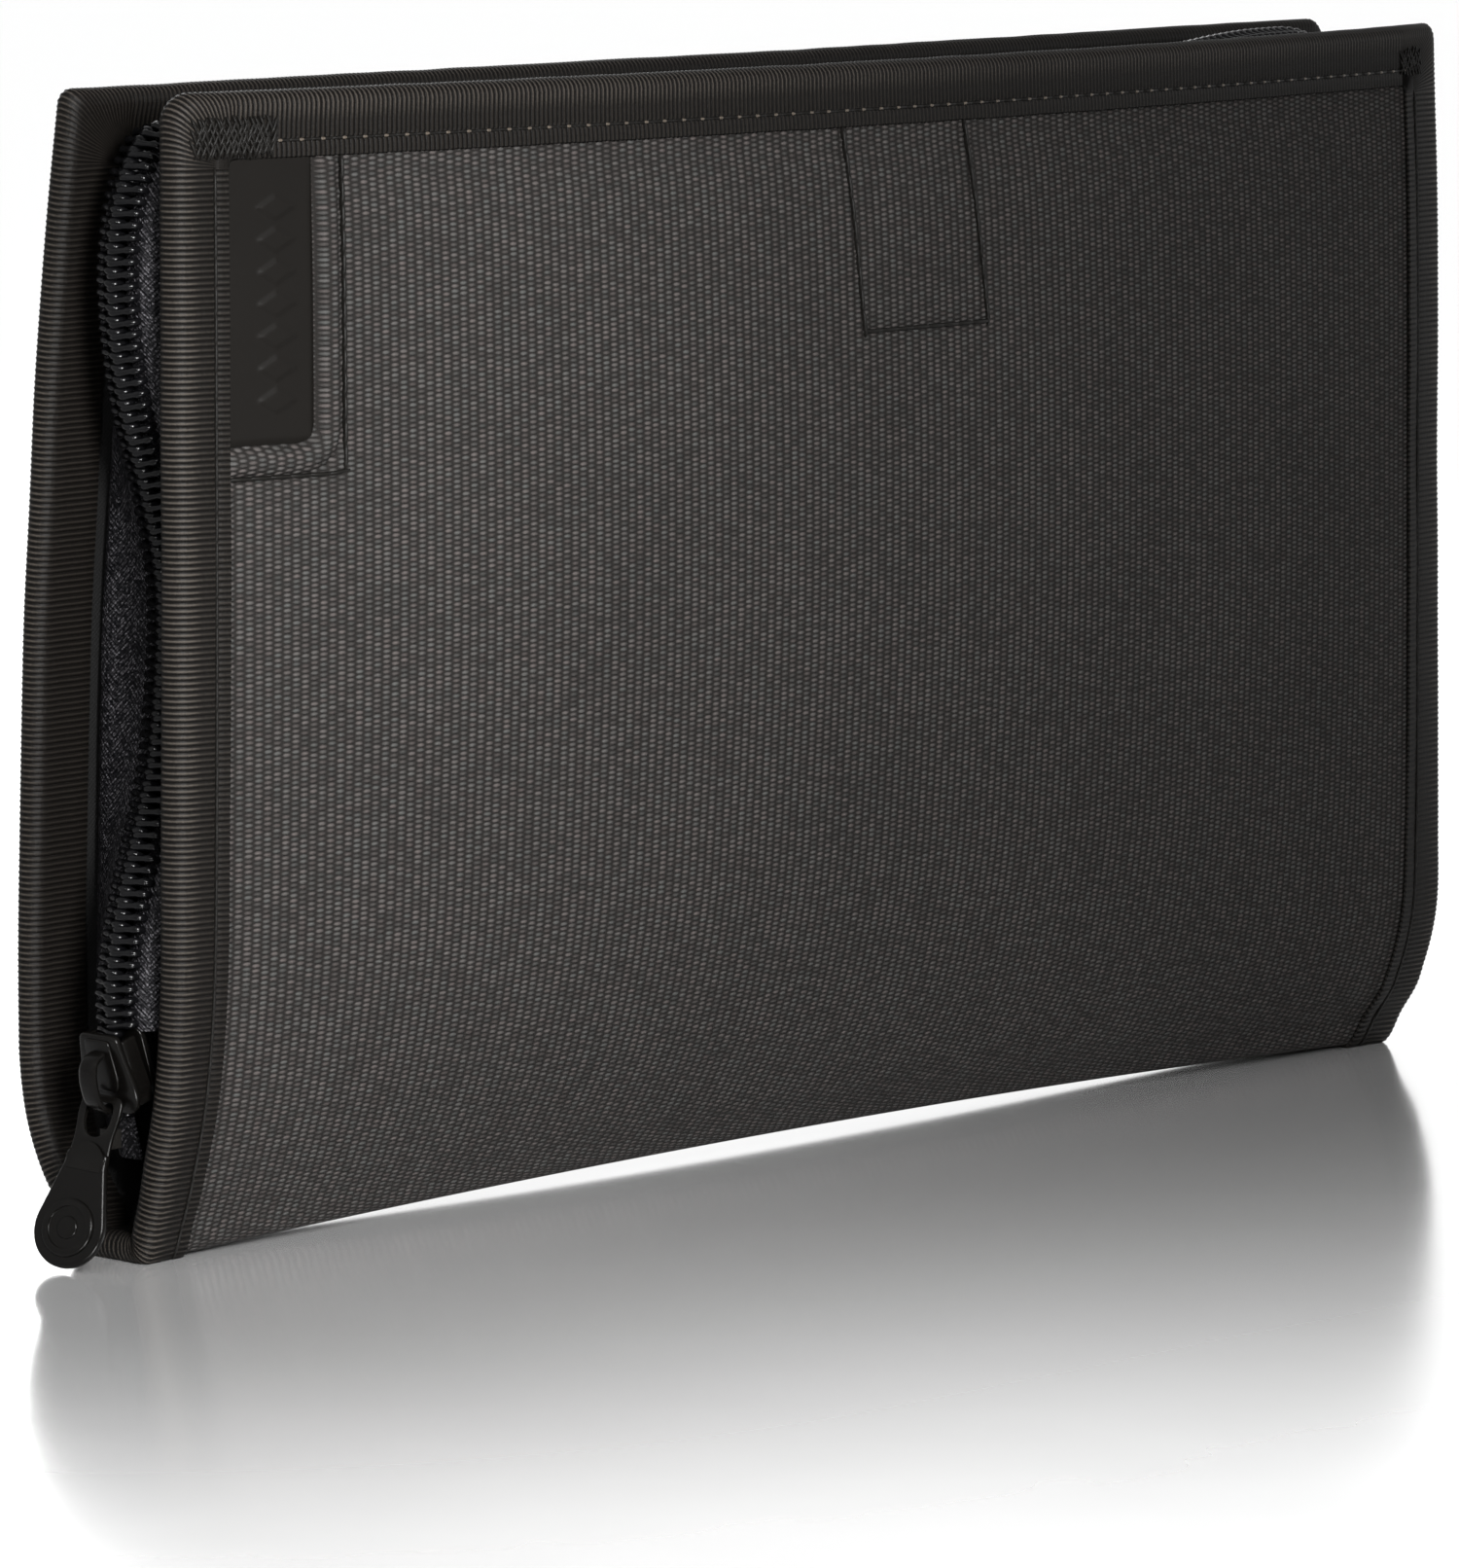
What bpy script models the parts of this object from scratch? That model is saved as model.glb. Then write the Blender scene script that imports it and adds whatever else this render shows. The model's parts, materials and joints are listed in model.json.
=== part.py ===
"""Travel document organizer: two padded covers on a soft spine, closed by a zipper on three sides.

Metres, +Z up.  The organizer stands on its spine with the zipper closed.  X runs along the spine,
-Y is the front.  Lengths below are in millimetres and are scaled once, when a mesh is made.
"""
import math

import bmesh
import bpy
from mathutils import Matrix, Vector

MM = 0.001

# ---- driving dimensions (mm) ----
WIDTH = 250.0
HEIGHT = 147.0
HALF = WIDTH / 2
BINDING_WIDTH = 9.5
BINDING_TAPE = 0.4
COVER_THICKNESS = 3.5
EDGE_PINCH = 0.9
SPINE_MIDDLE_Y = 3.5

# Profile of each cover: (y, z, lean at the right end, belly at mid width, rise at mid width)
FRONT_PROFILE = (
    (3.5, 0.0, 0.0, 0.0, 1.0),
    (-2.2, 0.0, -1.0, 0.0, 0.9),
    (-4.4, 5.0, -2.4, 0.0, 0.1),
    (-5.9, 10.0, -4.2, 1.6, 0.0),
    (-8.0, 20.0, -4.8, 4.8, 0.0),
    (-9.1, 32.0, -3.9, 7.8, 0.0),
    (-9.4, 45.0, -3.3, 9.8, 0.0),
    (-9.4, 80.0, -2.4, 11.8, 0.0),
    (-9.4, 123.0, -1.5, 11.0, 0.0),
    (-9.4, 147.0, -0.3, 9.2, 0.0),
)
REAR_PROFILE = (
    (3.5, 0.0, 0.0, 0.0, 1.0),
    (8.0, 0.0, 0.0, 0.0, 0.9),
    (11.3, 4.4, 0.0, 0.0, 0.1),
    (14.4, 9.5, 0.0, 0.0, 0.0),
    (16.4, 17.0, 0.0, 0.0, 0.0),
    (17.1, 30.0, 0.0, 0.0, 0.0),
    (16.8, 50.0, 0.0, 0.0, 0.0),
    (16.0, 75.0, 0.0, 0.0, 0.0),
    (14.3, 100.0, 0.0, 0.0, 0.0),
    (12.3, 123.0, 0.0, 0.0, 0.0),
    (9.1, 147.0, 0.0, 0.0, 0.0),
)
CURVE_STEPS = 12

# Layers of a cover, as depths below its outer surface
SHELL = (0.65, 1.15)
STIFFENER = (1.4, 1.9)
LINING = (2.15, 2.45)
LAYER_INSET = 0.7
STIFFENER_INSET = 2.0

# Fold lines along the spine: (y, z) of each axis, and the height where cover and spine part
FRONT_AXIS = (-5.6, 3.5)
REAR_AXIS = (13.4, 3.4)
SPLIT_HEIGHT = 5.4
SPLIT_GAP = 0.3
SPINE_CHORD = 4.0

# Main zipper: the chain's line around the three open sides, straight on the left where it opens
CHAIN_Y = 1.5
LEFT_RUN_X = -122.2
RIGHT_ARC_RADIUS = 333.0
RIGHT_ARC_HEIGHT = 79.5
RIGHT_DEEPEST = 116.6
CHAIN_LOW = 17.0
TAPE_LOW = 12.0
TUCK_HEIGHT = 14.5
TUCK_SLOPE = 1.0
CHAIN_CORNER = 128.0
CHAIN_TOP = 141.5
CHAIN_TOP_RIGHT = 146.0
TOP_RUN_HALF = 115.5
TOP_BOW = 6.4
FRONT_CHAIN_START = 29.5
TAPE_THICKNESS = 0.4
TAPE_SEAM_INSET = 13.0
TAPE_TURN_INSET = 10.6
TAPE_SEAM_DEPTH = 2.75
TAPE_TURN_DEPTH = 4.0
TAPE_LEVEL = 1.1
TAPE_EDGE = 0.95
TAPE_BEND = 4.3
TAPE_BEND_TOP = 3.4
TAPE_CORNER = 6.0
COIL_SECTION = ((-0.8, 1.0), (-0.8, 2.6), (-0.3, 3.0), (0.5, 3.0), (1.1, 2.4), (1.1, 1.0))

# Slider and pull, in the slider's own frame: t along the chain, w across it, n away from the covers
SLIDER_HEIGHT = 23.8
PLATE_OUTLINE = ((5.4, 3.9), (4.4, 4.25), (0.5, 4.25), (-1.6, 4.8), (-3.6, 4.8), (-5.4, 3.8))
LOWER_OUTLINE = ((5.0, 3.1), (4.2, 3.6), (-3.2, 3.6), (-5.0, 3.0))
UPPER_PLATE = (1.45, 2.35)
LOWER_PLATE = (-2.7, -1.85)
LIP = (3.4, 4.2)
LIP_LENGTH = (-4.2, 4.4)
LIP_LOW = -0.6
POST = (-4.9, -3.7, 0.6)
CROWN_OUTLINE = (
    (-4.6, 2.65), (-4.5, 4.3), (-3.5, 5.4), (-1.5, 5.7), (1.2, 5.6), (2.6, 4.7), (3.0, 2.65),
    (1.9, 2.65), (1.6, 4.1), (0.8, 4.6), (-2.6, 4.6), (-3.4, 4.0), (-3.5, 2.65),
)
CROWN_HALF = 1.3
BAR_T = -2.6
BAR_N = 3.5
PULL_LENGTH = 22.0
PULL_THICKNESS = 1.1
PULL_LEAN = 20.0
PULL_ROOT = ((-0.3, 2.7), (0.1, 3.2), (7.5, 3.2))
PULL_TIP_RADIUS = 5.1
PULL_TIP_START = 110
PULL_OPENING = (0.6, 5.4, 2.1)
STOP_BELOW = 1.6
STOP_OUT = 2.1
STOP_SIZE = ((-1.1, 0.5), (-1.1, 1.1), (-1.2, 1.2))

# Patch, key tab and key ring
PATCH_X = (-114.6, -102.0)
PATCH_Z = (102.5, 137.0)
PATCH_BAND = 5.0
PATCH_DEPTHS = (-0.1, 0.35)
PATCH_FRAME_DEPTH = 0.4
PATCH_GAP = 0.3
KEY_X = 4.0
KEY_DEPTH = 4.4
KEY_TAB_HALF = 6.0
KEY_TAB_Z = (116.0, 132.0)
KEY_TAB_TAPE = 0.6
KEY_TAB_FOLD = 1.1
KEY_RING_HALF = 7.7
KEY_RING_TALL = 17.0
KEY_WIRE = 1.3

# Inside pockets, as heights and as depths below the cover's outer surface
POCKET_HALF = 105.0
POCKET_ROWS = (12, 17, 23, 31, 42, 58, 80, 102, 123)
POCKET_COLUMN = 29.0
DOCUMENT_Z = (22.0, 108.0)
DOCUMENT_DEPTHS = (2.75, 3.05)
CARD_COUNT = 3
CARD_RIGHT = -12.0
CARD_Z = (26.0, 96.0)
CARD_DROP = 14.0
CARD_DEPTHS = (3.35, 3.65)
CARD_STEP = 0.55
PASSPORT_Z = (24.0, 86.0)
PASSPORT_DEPTHS = (4.3, 5.1)
COIN_ZIP_Z = 104.0
COIN_TAPE_HALF = 97.0
COIN_TAPE_WIDE = 7.0
COIN_TAPE_DEPTHS = (2.75, 3.05)
COIN_COIL_HALF = 93.0
COIN_COIL_WIDE = 1.3
COIN_COIL_DEPTHS = (3.35, 4.6)
COIN_OPENING = 3.4
COIN_LOWER_DEPTHS = (3.35, 4.0)
COIN_UPPER_DEPTHS = (3.35, 3.7)
COIN_POCKET_Z = (22.0, 126.0)
COIN_PLATE_DEPTH = 5.15
COIN_SCALE = 0.6
COIN_SLIDER_X = -72.0
PEN_X = 60.0
PEN_LENGTH = 28.0
PEN_BORE = 8.5
PEN_WALL = 0.6
PEN_CENTRE = (4.2, 8.9)

# ---- materials: colour, roughness, metallic ----
FINISHES = {
    "canvas": ((0.040, 0.039, 0.040), 0.85, 0.0),
    "grosgrain": ((0.018, 0.018, 0.019), 0.7, 0.0),
    "lining": ((0.09, 0.095, 0.10), 0.75, 0.0),
    "board": ((0.30, 0.29, 0.27), 0.8, 0.0),
    "zip_tape": ((0.013, 0.013, 0.018), 0.75, 0.0),
    "coil": ((0.012, 0.012, 0.013), 0.3, 0.0),
    "black_metal": ((0.012, 0.012, 0.012), 0.25, 0.9),
    "rubber": ((0.016, 0.016, 0.016), 0.6, 0.0),
    "nickel": ((0.55, 0.55, 0.56), 0.28, 1.0),
    "mesh_pocket": ((0.05, 0.05, 0.055), 0.8, 0.0),
}


def clear_scene():
    for item in list(bpy.data.objects):
        bpy.data.objects.remove(item, do_unlink=True)


def make_materials():
    made = {}
    for name, (colour, roughness, metallic) in FINISHES.items():
        material = bpy.data.materials.new(name)
        material.use_nodes = True
        shader = material.node_tree.nodes["Principled BSDF"]
        shader.inputs["Base Color"].default_value = (*colour, 1.0)
        shader.inputs["Roughness"].default_value = roughness
        shader.inputs["Metallic"].default_value = metallic
        material.diffuse_color = (*colour, 1.0)
        made[name] = material
    return made


# ---- the cover surface ----
def sample_profile(points):
    """Smooth curve through the profile points: rows of (arc length, y, z, lean, belly, rise)."""
    count = len(points)
    reach = [0.0]
    for a, b in zip(points, points[1:]):
        reach.append(reach[-1] + math.dist(a[:2], b[:2]))
    slopes = []
    for i in range(count):
        lo = max(i - 1, 0)
        hi = min(i + 1, count - 1)
        step = reach[hi] - reach[lo]
        slopes.append([(points[hi][k] - points[lo][k]) / step for k in range(5)])
    rows = []
    for i in range(count - 1):
        length = reach[i + 1] - reach[i]
        for j in range(CURVE_STEPS + (i == count - 2)):
            f = j / CURVE_STEPS
            h1 = 2 * f**3 - 3 * f**2 + 1
            h2 = f**3 - 2 * f**2 + f
            h3 = -2 * f**3 + 3 * f**2
            h4 = f**3 - f**2
            row = [
                h1 * points[i][k] + h2 * length * slopes[i][k]
                + h3 * points[i + 1][k] + h4 * length * slopes[i + 1][k]
                for k in range(5)
            ]
            row[1] = max(row[1], 0.0)
            rows.append((reach[i] + f * length, *row))
    return rows


PROFILES = {"front": sample_profile(FRONT_PROFILE), "rear": sample_profile(REAR_PROFILE)}


def profile_row(side, reach):
    """The profile's values at a distance along it from the middle of the spine."""
    rows = PROFILES[side]
    reach = min(max(reach, rows[0][0]), rows[-1][0])
    for a, b in zip(rows, rows[1:]):
        if reach <= b[0]:
            f = (reach - a[0]) / (b[0] - a[0])
            return [p + f * (q - p) for p, q in zip(a, b)]
    return list(rows[-1])


def reach_at(side, height):
    """Distance along the profile at which it reaches a height."""
    rows = PROFILES[side]
    for a, b in zip(rows, rows[1:]):
        if a[2] <= height <= b[2] and b[2] > a[2]:
            return a[0] + (height - a[2]) / (b[2] - a[2]) * (b[0] - a[0])
    return rows[-1][0]


def outer_yz(side, x, reach):
    _, y, z, lean, belly, rise = profile_row(side, reach)
    fullness = 1 - (x / HALF) ** 2
    y += lean * (x + HALF) / WIDTH - belly * fullness
    inset = HALF - abs(x)
    if side == "front" and inset < BINDING_WIDTH:
        y += EDGE_PINCH * (1 - inset / BINDING_WIDTH) * min(1.0, z / 12)
    arch = max(0.0, 1 - (x / (HALF - BINDING_WIDTH)) ** 2)
    return y, z + rise * arch


def cover_point(side, x, reach, depth, step=1.0):
    """A point below the outer surface; the depth's direction is normal to a chord of two steps."""
    y, z = outer_yz(side, x, reach)
    y0, z0 = outer_yz(side, x, max(reach - step, 0.0))
    y1, z1 = outer_yz(side, x, reach + step)
    ty, tz = y1 - y0, z1 - z0
    size = math.hypot(ty, tz)
    sign = 1 if side == "front" else -1
    return Vector((x, y + sign * depth * tz / size, z - sign * depth * ty / size))


def spine_point(x, along, depth):
    """Like cover_point, for the spine: along is negative at the front and positive at the rear."""
    if abs(along) < 1e-6:
        y, z = outer_yz("front", x, 0.0)
        return Vector((x, y, z + depth))
    side = "front" if along < 0 else "rear"
    step = min(max(reach_at(side, SPLIT_HEIGHT) - abs(along), 1.0), SPINE_CHORD)
    return cover_point(side, x, abs(along), depth, step)


# ---- mesh helpers (mm in, metres out) ----
def add_part(name, vertices, faces, material, parent, smooth=True):
    """One closed mesh object, in its parent's frame."""
    shift = parent.matrix_world.translation if parent else Vector()
    mesh = bpy.data.meshes.new(name)
    mesh.from_pydata([Vector(v) * MM - shift for v in vertices], [], faces)
    bm = bmesh.new()
    bm.from_mesh(mesh)
    bmesh.ops.recalc_face_normals(bm, faces=bm.faces)
    if bm.calc_volume(signed=True) < 0:
        bmesh.ops.reverse_faces(bm, faces=bm.faces)
    bm.to_mesh(mesh)
    bm.free()
    if smooth:
        mesh.shade_smooth()
        mesh.set_sharp_from_angle(angle=math.radians(35))
    mesh.materials.append(material)
    item = bpy.data.objects.new(name, mesh)
    bpy.context.scene.collection.objects.link(item)
    item.parent = parent
    return item


def add_axis(name, place, parent):
    """An empty on a joint's axis, at a place in mm."""
    item = bpy.data.objects.new(name, None)
    bpy.context.scene.collection.objects.link(item)
    item.empty_display_size = 0.01
    item.parent = parent
    item.location = Vector(place) * MM - (parent.matrix_world.translation if parent else Vector())
    bpy.context.view_layer.update()
    return item


def sheet_mesh(point, us, vs, depths):
    """Closed thin solid over the grid us by vs, between two depths."""
    nu, nv = len(us), len(vs)
    vertices = [point(u, v, depth) for depth in depths for u in us for v in vs]
    faces = []

    def index(layer, i, j):
        return layer * nu * nv + i * nv + j

    for i in range(nu - 1):
        for j in range(nv - 1):
            for layer in (0, 1):
                a, b = index(layer, i, j), index(layer, i + 1, j)
                c, d = index(layer, i + 1, j + 1), index(layer, i, j + 1)
                faces += [(a, b, c), (a, c, d)] if layer == 0 else [(c, b, a), (d, c, a)]
    rim = [(i, 0) for i in range(nu)] + [(nu - 1, j) for j in range(1, nv)]
    rim += [(i, nv - 1) for i in range(nu - 2, -1, -1)] + [(0, j) for j in range(nv - 2, 0, -1)]
    for (i, j), (k, m) in zip(rim, rim[1:] + rim[:1]):
        faces.append((index(0, i, j), index(0, k, m), index(1, k, m), index(1, i, j)))
    return vertices, faces


def sweep_mesh(sections, closed=False):
    """Closed solid through a row of sections, each a ring of the same number of points."""
    ring = len(sections[0])
    vertices = [point for section in sections for point in section]
    faces = []
    pairs = list(range(len(sections) - 1))
    for i in pairs:
        for j in range(ring):
            a, b = i * ring + j, i * ring + (j + 1) % ring
            faces.append((a, b, b + ring, a + ring))
    if closed:
        last = (len(sections) - 1) * ring
        for j in range(ring):
            faces.append((last + j, last + (j + 1) % ring, (j + 1) % ring, j))
    else:
        faces.append(tuple(range(ring)))
        faces.append(tuple(range(len(vertices) - 1, len(vertices) - ring - 1, -1)))
    return vertices, faces


def prism_mesh(outline, low, high, frame):
    """Prism on an outline of (a, b) between two values of c; frame turns (a, b, c) into a place."""
    return sweep_mesh([[frame(a, b, c) for a, b in outline] for c in (low, high)])


def combine(name, base, others, operation, material, parent):
    """Boolean of closed meshes, kept as one plain mesh."""
    result = add_part(name, *base, material, parent, smooth=False)
    for number, mesh in enumerate(others):
        tool = add_part(f"{name}_tool_{number}", *mesh, material, parent, smooth=False)
        step = result.modifiers.new("shape", "BOOLEAN")
        step.operation = operation
        step.object = tool
        bpy.context.view_layer.update()
        shaped = result.evaluated_get(bpy.context.evaluated_depsgraph_get())
        mesh_after = bpy.data.meshes.new_from_object(shaped)
        result.modifiers.clear()
        old = result.data
        result.data = mesh_after
        bpy.data.meshes.remove(old)
        bpy.data.objects.remove(tool, do_unlink=True)
    result.data.name = name
    result.data.shade_smooth()
    result.data.set_sharp_from_angle(angle=math.radians(35))
    return result


def span(low, high, pieces):
    return [low + (high - low) * i / pieces for i in range(pieces + 1)]


def cover_columns(inset):
    """X lines of a cover's grid, closer near its ends."""
    inner = HALF - BINDING_WIDTH
    return [-HALF + inset] + span(-inner, inner, 8) + [HALF - inset]


def cover_rows(side, low, high):
    """Reach values of a cover's grid between two heights."""
    lines = [low + 3, 12, 17, 23, 31, 42, 58, 80, 102, 123, HEIGHT - BINDING_WIDTH]
    lines = [low] + [z for z in lines if low + 2 < z < high - 1] + [high]
    return [reach_at(side, z) for z in lines]


# ---- spine ----
def spine_rows():
    front = reach_at("front", SPLIT_HEIGHT) - SPLIT_GAP / 2
    rear = reach_at("rear", SPLIT_HEIGHT) - SPLIT_GAP / 2
    front_foot = SPINE_MIDDLE_Y - FRONT_PROFILE[1][0]
    rear_foot = REAR_PROFILE[1][0] - SPINE_MIDDLE_Y
    rows = [0.0]
    for edge, foot, sign in ((front, front_foot, -1), (rear, rear_foot, 1)):
        middle = (edge + foot) / 2 + 0.6
        rows += [sign * reach for reach in (foot - 0.6, foot + 0.9, middle, edge)]
    return sorted(rows)


def make_spine(finish, parent):
    rows = spine_rows()
    columns = cover_columns(LAYER_INSET)
    for name, depths, material in (("spine_shell", SHELL, "canvas"), ("spine_lining", LINING, "lining")):
        add_part(name, *sheet_mesh(spine_point, columns, rows, depths), finish[material], parent)
    for name, end in (("spine_binding_left", -1), ("spine_binding_right", 1)):
        sections = [[spine_point(end * (HALF - inset), row, depth) for inset, depth in binding_outline()]
                    for row in rows]
        add_part(name, *sweep_mesh(sections), finish["grosgrain"], parent, smooth=False)
    make_pen_loop(finish, parent)


def binding_outline():
    """Section of the folded binding tape: (inset from the cover's edge, depth)."""
    tape, wide, thick = BINDING_TAPE, BINDING_WIDTH, COVER_THICKNESS
    return ((wide, 0), (0, 0), (0, thick), (wide, thick),
            (wide, thick - tape), (tape, thick - tape), (tape, tape), (wide, tape))


def make_pen_loop(finish, parent):
    sides = 20
    inner = PEN_BORE / 2
    outer = inner + PEN_WALL
    sections = []
    for i in range(sides):
        turn = math.tau * i / sides
        ring = []
        for x, radius in ((-1, inner), (1, inner), (1, outer), (-1, outer)):
            y = PEN_CENTRE[0] + radius * math.cos(turn)
            z = PEN_CENTRE[1] + radius * math.sin(turn)
            ring.append(Vector((PEN_X + x * PEN_LENGTH / 2, y, z)))
        sections.append(ring)
    add_part("pen_loop", *sweep_mesh(sections, closed=True), finish["grosgrain"], parent)


# ---- covers ----
def make_cover(side, finish, parent):
    low = SPLIT_HEIGHT

    def surface(x, row, depth):
        return cover_point(side, x, row, depth)

    rows = cover_rows(side, low, HEIGHT - LAYER_INSET)
    rows[0] += SPLIT_GAP / 2
    columns = cover_columns(LAYER_INSET)
    add_part(f"{side}_shell", *sheet_mesh(surface, columns, rows, SHELL), finish["canvas"], parent)
    add_part(f"{side}_lining", *sheet_mesh(surface, columns, rows, LINING), finish["lining"], parent)
    board_rows = cover_rows(side, low + 2, HEIGHT - STIFFENER_INSET)
    board = sheet_mesh(surface, cover_columns(STIFFENER_INSET), board_rows, STIFFENER)
    add_part(f"{side}_stiffener", *board, finish["board"], parent)

    top = HEIGHT - BINDING_WIDTH - SPLIT_GAP
    side_rows = cover_rows(side, low, top)
    side_rows[0] += SPLIT_GAP / 2
    for name, end in (("left", -1), ("right", 1)):
        sections = [[surface(end * (HALF - inset), row, depth) for inset, depth in binding_outline()]
                    for row in side_rows]
        add_part(f"{side}_binding_{name}", *sweep_mesh(sections), finish["grosgrain"], parent, False)
    edge = PROFILES[side][-1][0]
    sections = [[surface(x, edge - inset, depth) for inset, depth in binding_outline()]
                for x in cover_columns(0)]
    add_part(f"{side}_binding_top", *sweep_mesh(sections), finish["grosgrain"], parent, False)


# ---- main zipper ----
def run_x(height, end):
    """Where the chain lies on an end run; its left foot is tucked in below the slider."""
    if end < 0:
        return LEFT_RUN_X + TUCK_SLOPE * max(TUCK_HEIGHT - height, 0.0)
    drop = math.sqrt(RIGHT_ARC_RADIUS**2 - (height - RIGHT_ARC_HEIGHT) ** 2)
    return RIGHT_DEEPEST + RIGHT_ARC_RADIUS - drop


def top_height(x):
    f = min(max((x - 55) / 52, 0.0), 1.0)
    return CHAIN_TOP + (CHAIN_TOP_RIGHT - CHAIN_TOP) * f * f * (3 - 2 * f)


def chain_stations(low):
    """Stations (chain point, inward direction, seam x, seam z, on the top run) from the left end."""
    stations = []
    seam_x = HALF - TAPE_TURN_INSET
    seam_z = HEIGHT - TAPE_TURN_INSET
    heights = [TUCK_HEIGHT, TUCK_HEIGHT + 2.7] + span(20, CHAIN_CORNER, 18)
    run = [low] + [z for z in heights if z > low + 1]
    for z in run:
        point = Vector((run_x(z, -1), CHAIN_Y, z))
        stations.append((point, Vector((1, 0, 0)), -seam_x, z, 0.0))
    for end in (-1, 1):
        wide = end * run_x(CHAIN_CORNER, end) - TOP_RUN_HALF
        tall = top_height(end * TOP_RUN_HALF) - CHAIN_CORNER
        turns = span(0, 90, 4) if end < 0 else span(90, 0, 4)
        turns = turns[1:-1]
        block = []
        for angle in turns:
            c, s = math.cos(math.radians(angle)), math.sin(math.radians(angle))
            point = Vector((end * (TOP_RUN_HALF + wide * c), CHAIN_Y, CHAIN_CORNER + tall * s))
            base_x = end * (seam_x - TAPE_CORNER + TAPE_CORNER * c)
            base_z = seam_z - TAPE_CORNER + TAPE_CORNER * s
            block.append((point, Vector((-end * c, 0, -s)), base_x, base_z, s))
        if end < 0:
            stations += block
            for x in span(-TOP_RUN_HALF, TOP_RUN_HALF, 20):
                bow = TOP_BOW * (1 - (x / TOP_RUN_HALF) ** 2)
                point = Vector((x, CHAIN_Y - bow, top_height(x)))
                base_x = x * (seam_x - TAPE_CORNER) / TOP_RUN_HALF
                stations.append((point, Vector((0, 0, -1)), base_x, seam_z, 1.0))
        else:
            stations += block
    for z in reversed(span(TAPE_LOW, CHAIN_CORNER, 14)):
        stations.append((Vector((run_x(z, 1), CHAIN_Y, z)), Vector((-1, 0, 0)), seam_x, z, 0.0))
    return stations


def offset_line(points, inward, sign, distance):
    """The same line, moved to its inner side in the plane of inward and Y."""
    flat = [(point.dot(inward), point.y) for point in points]
    normals = []
    for (q0, y0), (q1, y1) in zip(flat, flat[1:]):
        size = math.hypot(q1 - q0, y1 - y0)
        normals.append((sign * (y1 - y0) / size, -sign * (q1 - q0) / size))
    moved = []
    for i, point in enumerate(points):
        a = normals[max(i - 1, 0)]
        b = normals[min(i, len(normals) - 1)]
        scale = distance / max(1 + a[0] * b[0] + a[1] * b[1], 0.6)
        moved.append(point + inward * (a[0] + b[0]) * scale + Vector((0, (a[1] + b[1]) * scale, 0)))
    return moved


def make_zip_tape(side, finish, parent):
    sign = 1 if side == "front" else -1
    sections = []
    for point, inward, base_x, base_z, top in chain_stations(FRONT_CHAIN_START if sign > 0 else TAPE_LOW):
        back = TAPE_SEAM_INSET - TAPE_TURN_INSET
        seam_x = base_x + inward.x * back
        seam = cover_point(side, seam_x, reach_at(side, base_z + inward.z * back), TAPE_SEAM_DEPTH)
        turn = cover_point(side, base_x, reach_at(side, base_z), TAPE_TURN_DEPTH)
        bend = TAPE_BEND + (TAPE_BEND_TOP - TAPE_BEND) * top
        knee = point + inward * TAPE_LEVEL - Vector((0, sign * bend, 0))
        edge = point + inward * TAPE_LEVEL - Vector((0, sign * TAPE_EDGE, 0))
        line = [seam, turn, knee, edge]
        sections.append(line + offset_line(line, inward, sign, TAPE_THICKNESS)[::-1])
    add_part(f"{side}_zip_tape", *sweep_mesh(sections), finish["zip_tape"], parent)


def make_zip_coil(side, finish, parent):
    sign = 1 if side == "front" else -1
    sections = []
    for point, inward, _, _, _ in chain_stations(FRONT_CHAIN_START if sign > 0 else CHAIN_LOW):
        sections.append([point - inward * n - Vector((0, sign * w, 0)) for n, w in COIL_SECTION])
    add_part(f"{side}_zip_coil", *sweep_mesh(sections), finish["coil"], parent)


# ---- slider and pull ----
def slider_frame():
    """Frame of the main slider at rest: origin, t, w and n directions."""
    origin = Vector((LEFT_RUN_X, CHAIN_Y, SLIDER_HEIGHT))
    return origin, Vector((0, 0, 1)), Vector((0, 1, 0)), Vector((-1, 0, 0))


def frame_map(frame, scale=1.0, order="twn"):
    """Turn three numbers, in the given order of directions, into a place."""
    origin, t, w, n = frame
    axes = {"t": t, "w": w, "n": n}

    def place(a, b, c):
        return origin + scale * (a * axes[order[0]] + b * axes[order[1]] + c * axes[order[2]])

    return place


def both_sides(half_outline):
    return list(half_outline) + [(a, -b) for a, b in reversed(half_outline)]


def box_outline(low_a, high_a, low_b, high_b):
    return [(low_a, low_b), (high_a, low_b), (high_a, high_b), (low_a, high_b)]


def make_slider(name, frame, scale, with_lower, finish, parent):
    place = frame_map(frame, scale)
    plate = prism_mesh(both_sides(PLATE_OUTLINE), *UPPER_PLATE, place)
    joined = 0.2
    others = []
    for sign in (-1, 1):
        lows, highs = sorted((sign * LIP[0], sign * LIP[1]))
        outline = box_outline(*LIP_LENGTH, lows, highs)
        others.append(prism_mesh(outline, LIP_LOW, UPPER_PLATE[0] + joined, place))
    if with_lower:
        others.append(prism_mesh(both_sides(LOWER_OUTLINE), *LOWER_PLATE, place))
        post = box_outline(POST[0], POST[1], -POST[2], POST[2])
        others.append(prism_mesh(post, LOWER_PLATE[1] - joined, UPPER_PLATE[0] + joined, place))
    return combine(name, plate, others, "UNION", finish["black_metal"], parent)


def make_crown(name, frame, scale, finish, parent):
    place = frame_map(frame, scale, "tnw")
    add_part(name, *prism_mesh(CROWN_OUTLINE, -CROWN_HALF, CROWN_HALF, place),
             finish["black_metal"], parent, False)


def pull_outline():
    """Half outline of the pull: (distance from its axis, half width), with a round tip."""
    centre = PULL_LENGTH - PULL_TIP_RADIUS
    tip = []
    for angle in span(PULL_TIP_START, 0, 7)[:-1]:
        turn = math.radians(angle)
        tip.append((centre + PULL_TIP_RADIUS * math.cos(turn), PULL_TIP_RADIUS * math.sin(turn)))
    return list(PULL_ROOT) + tip


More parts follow.
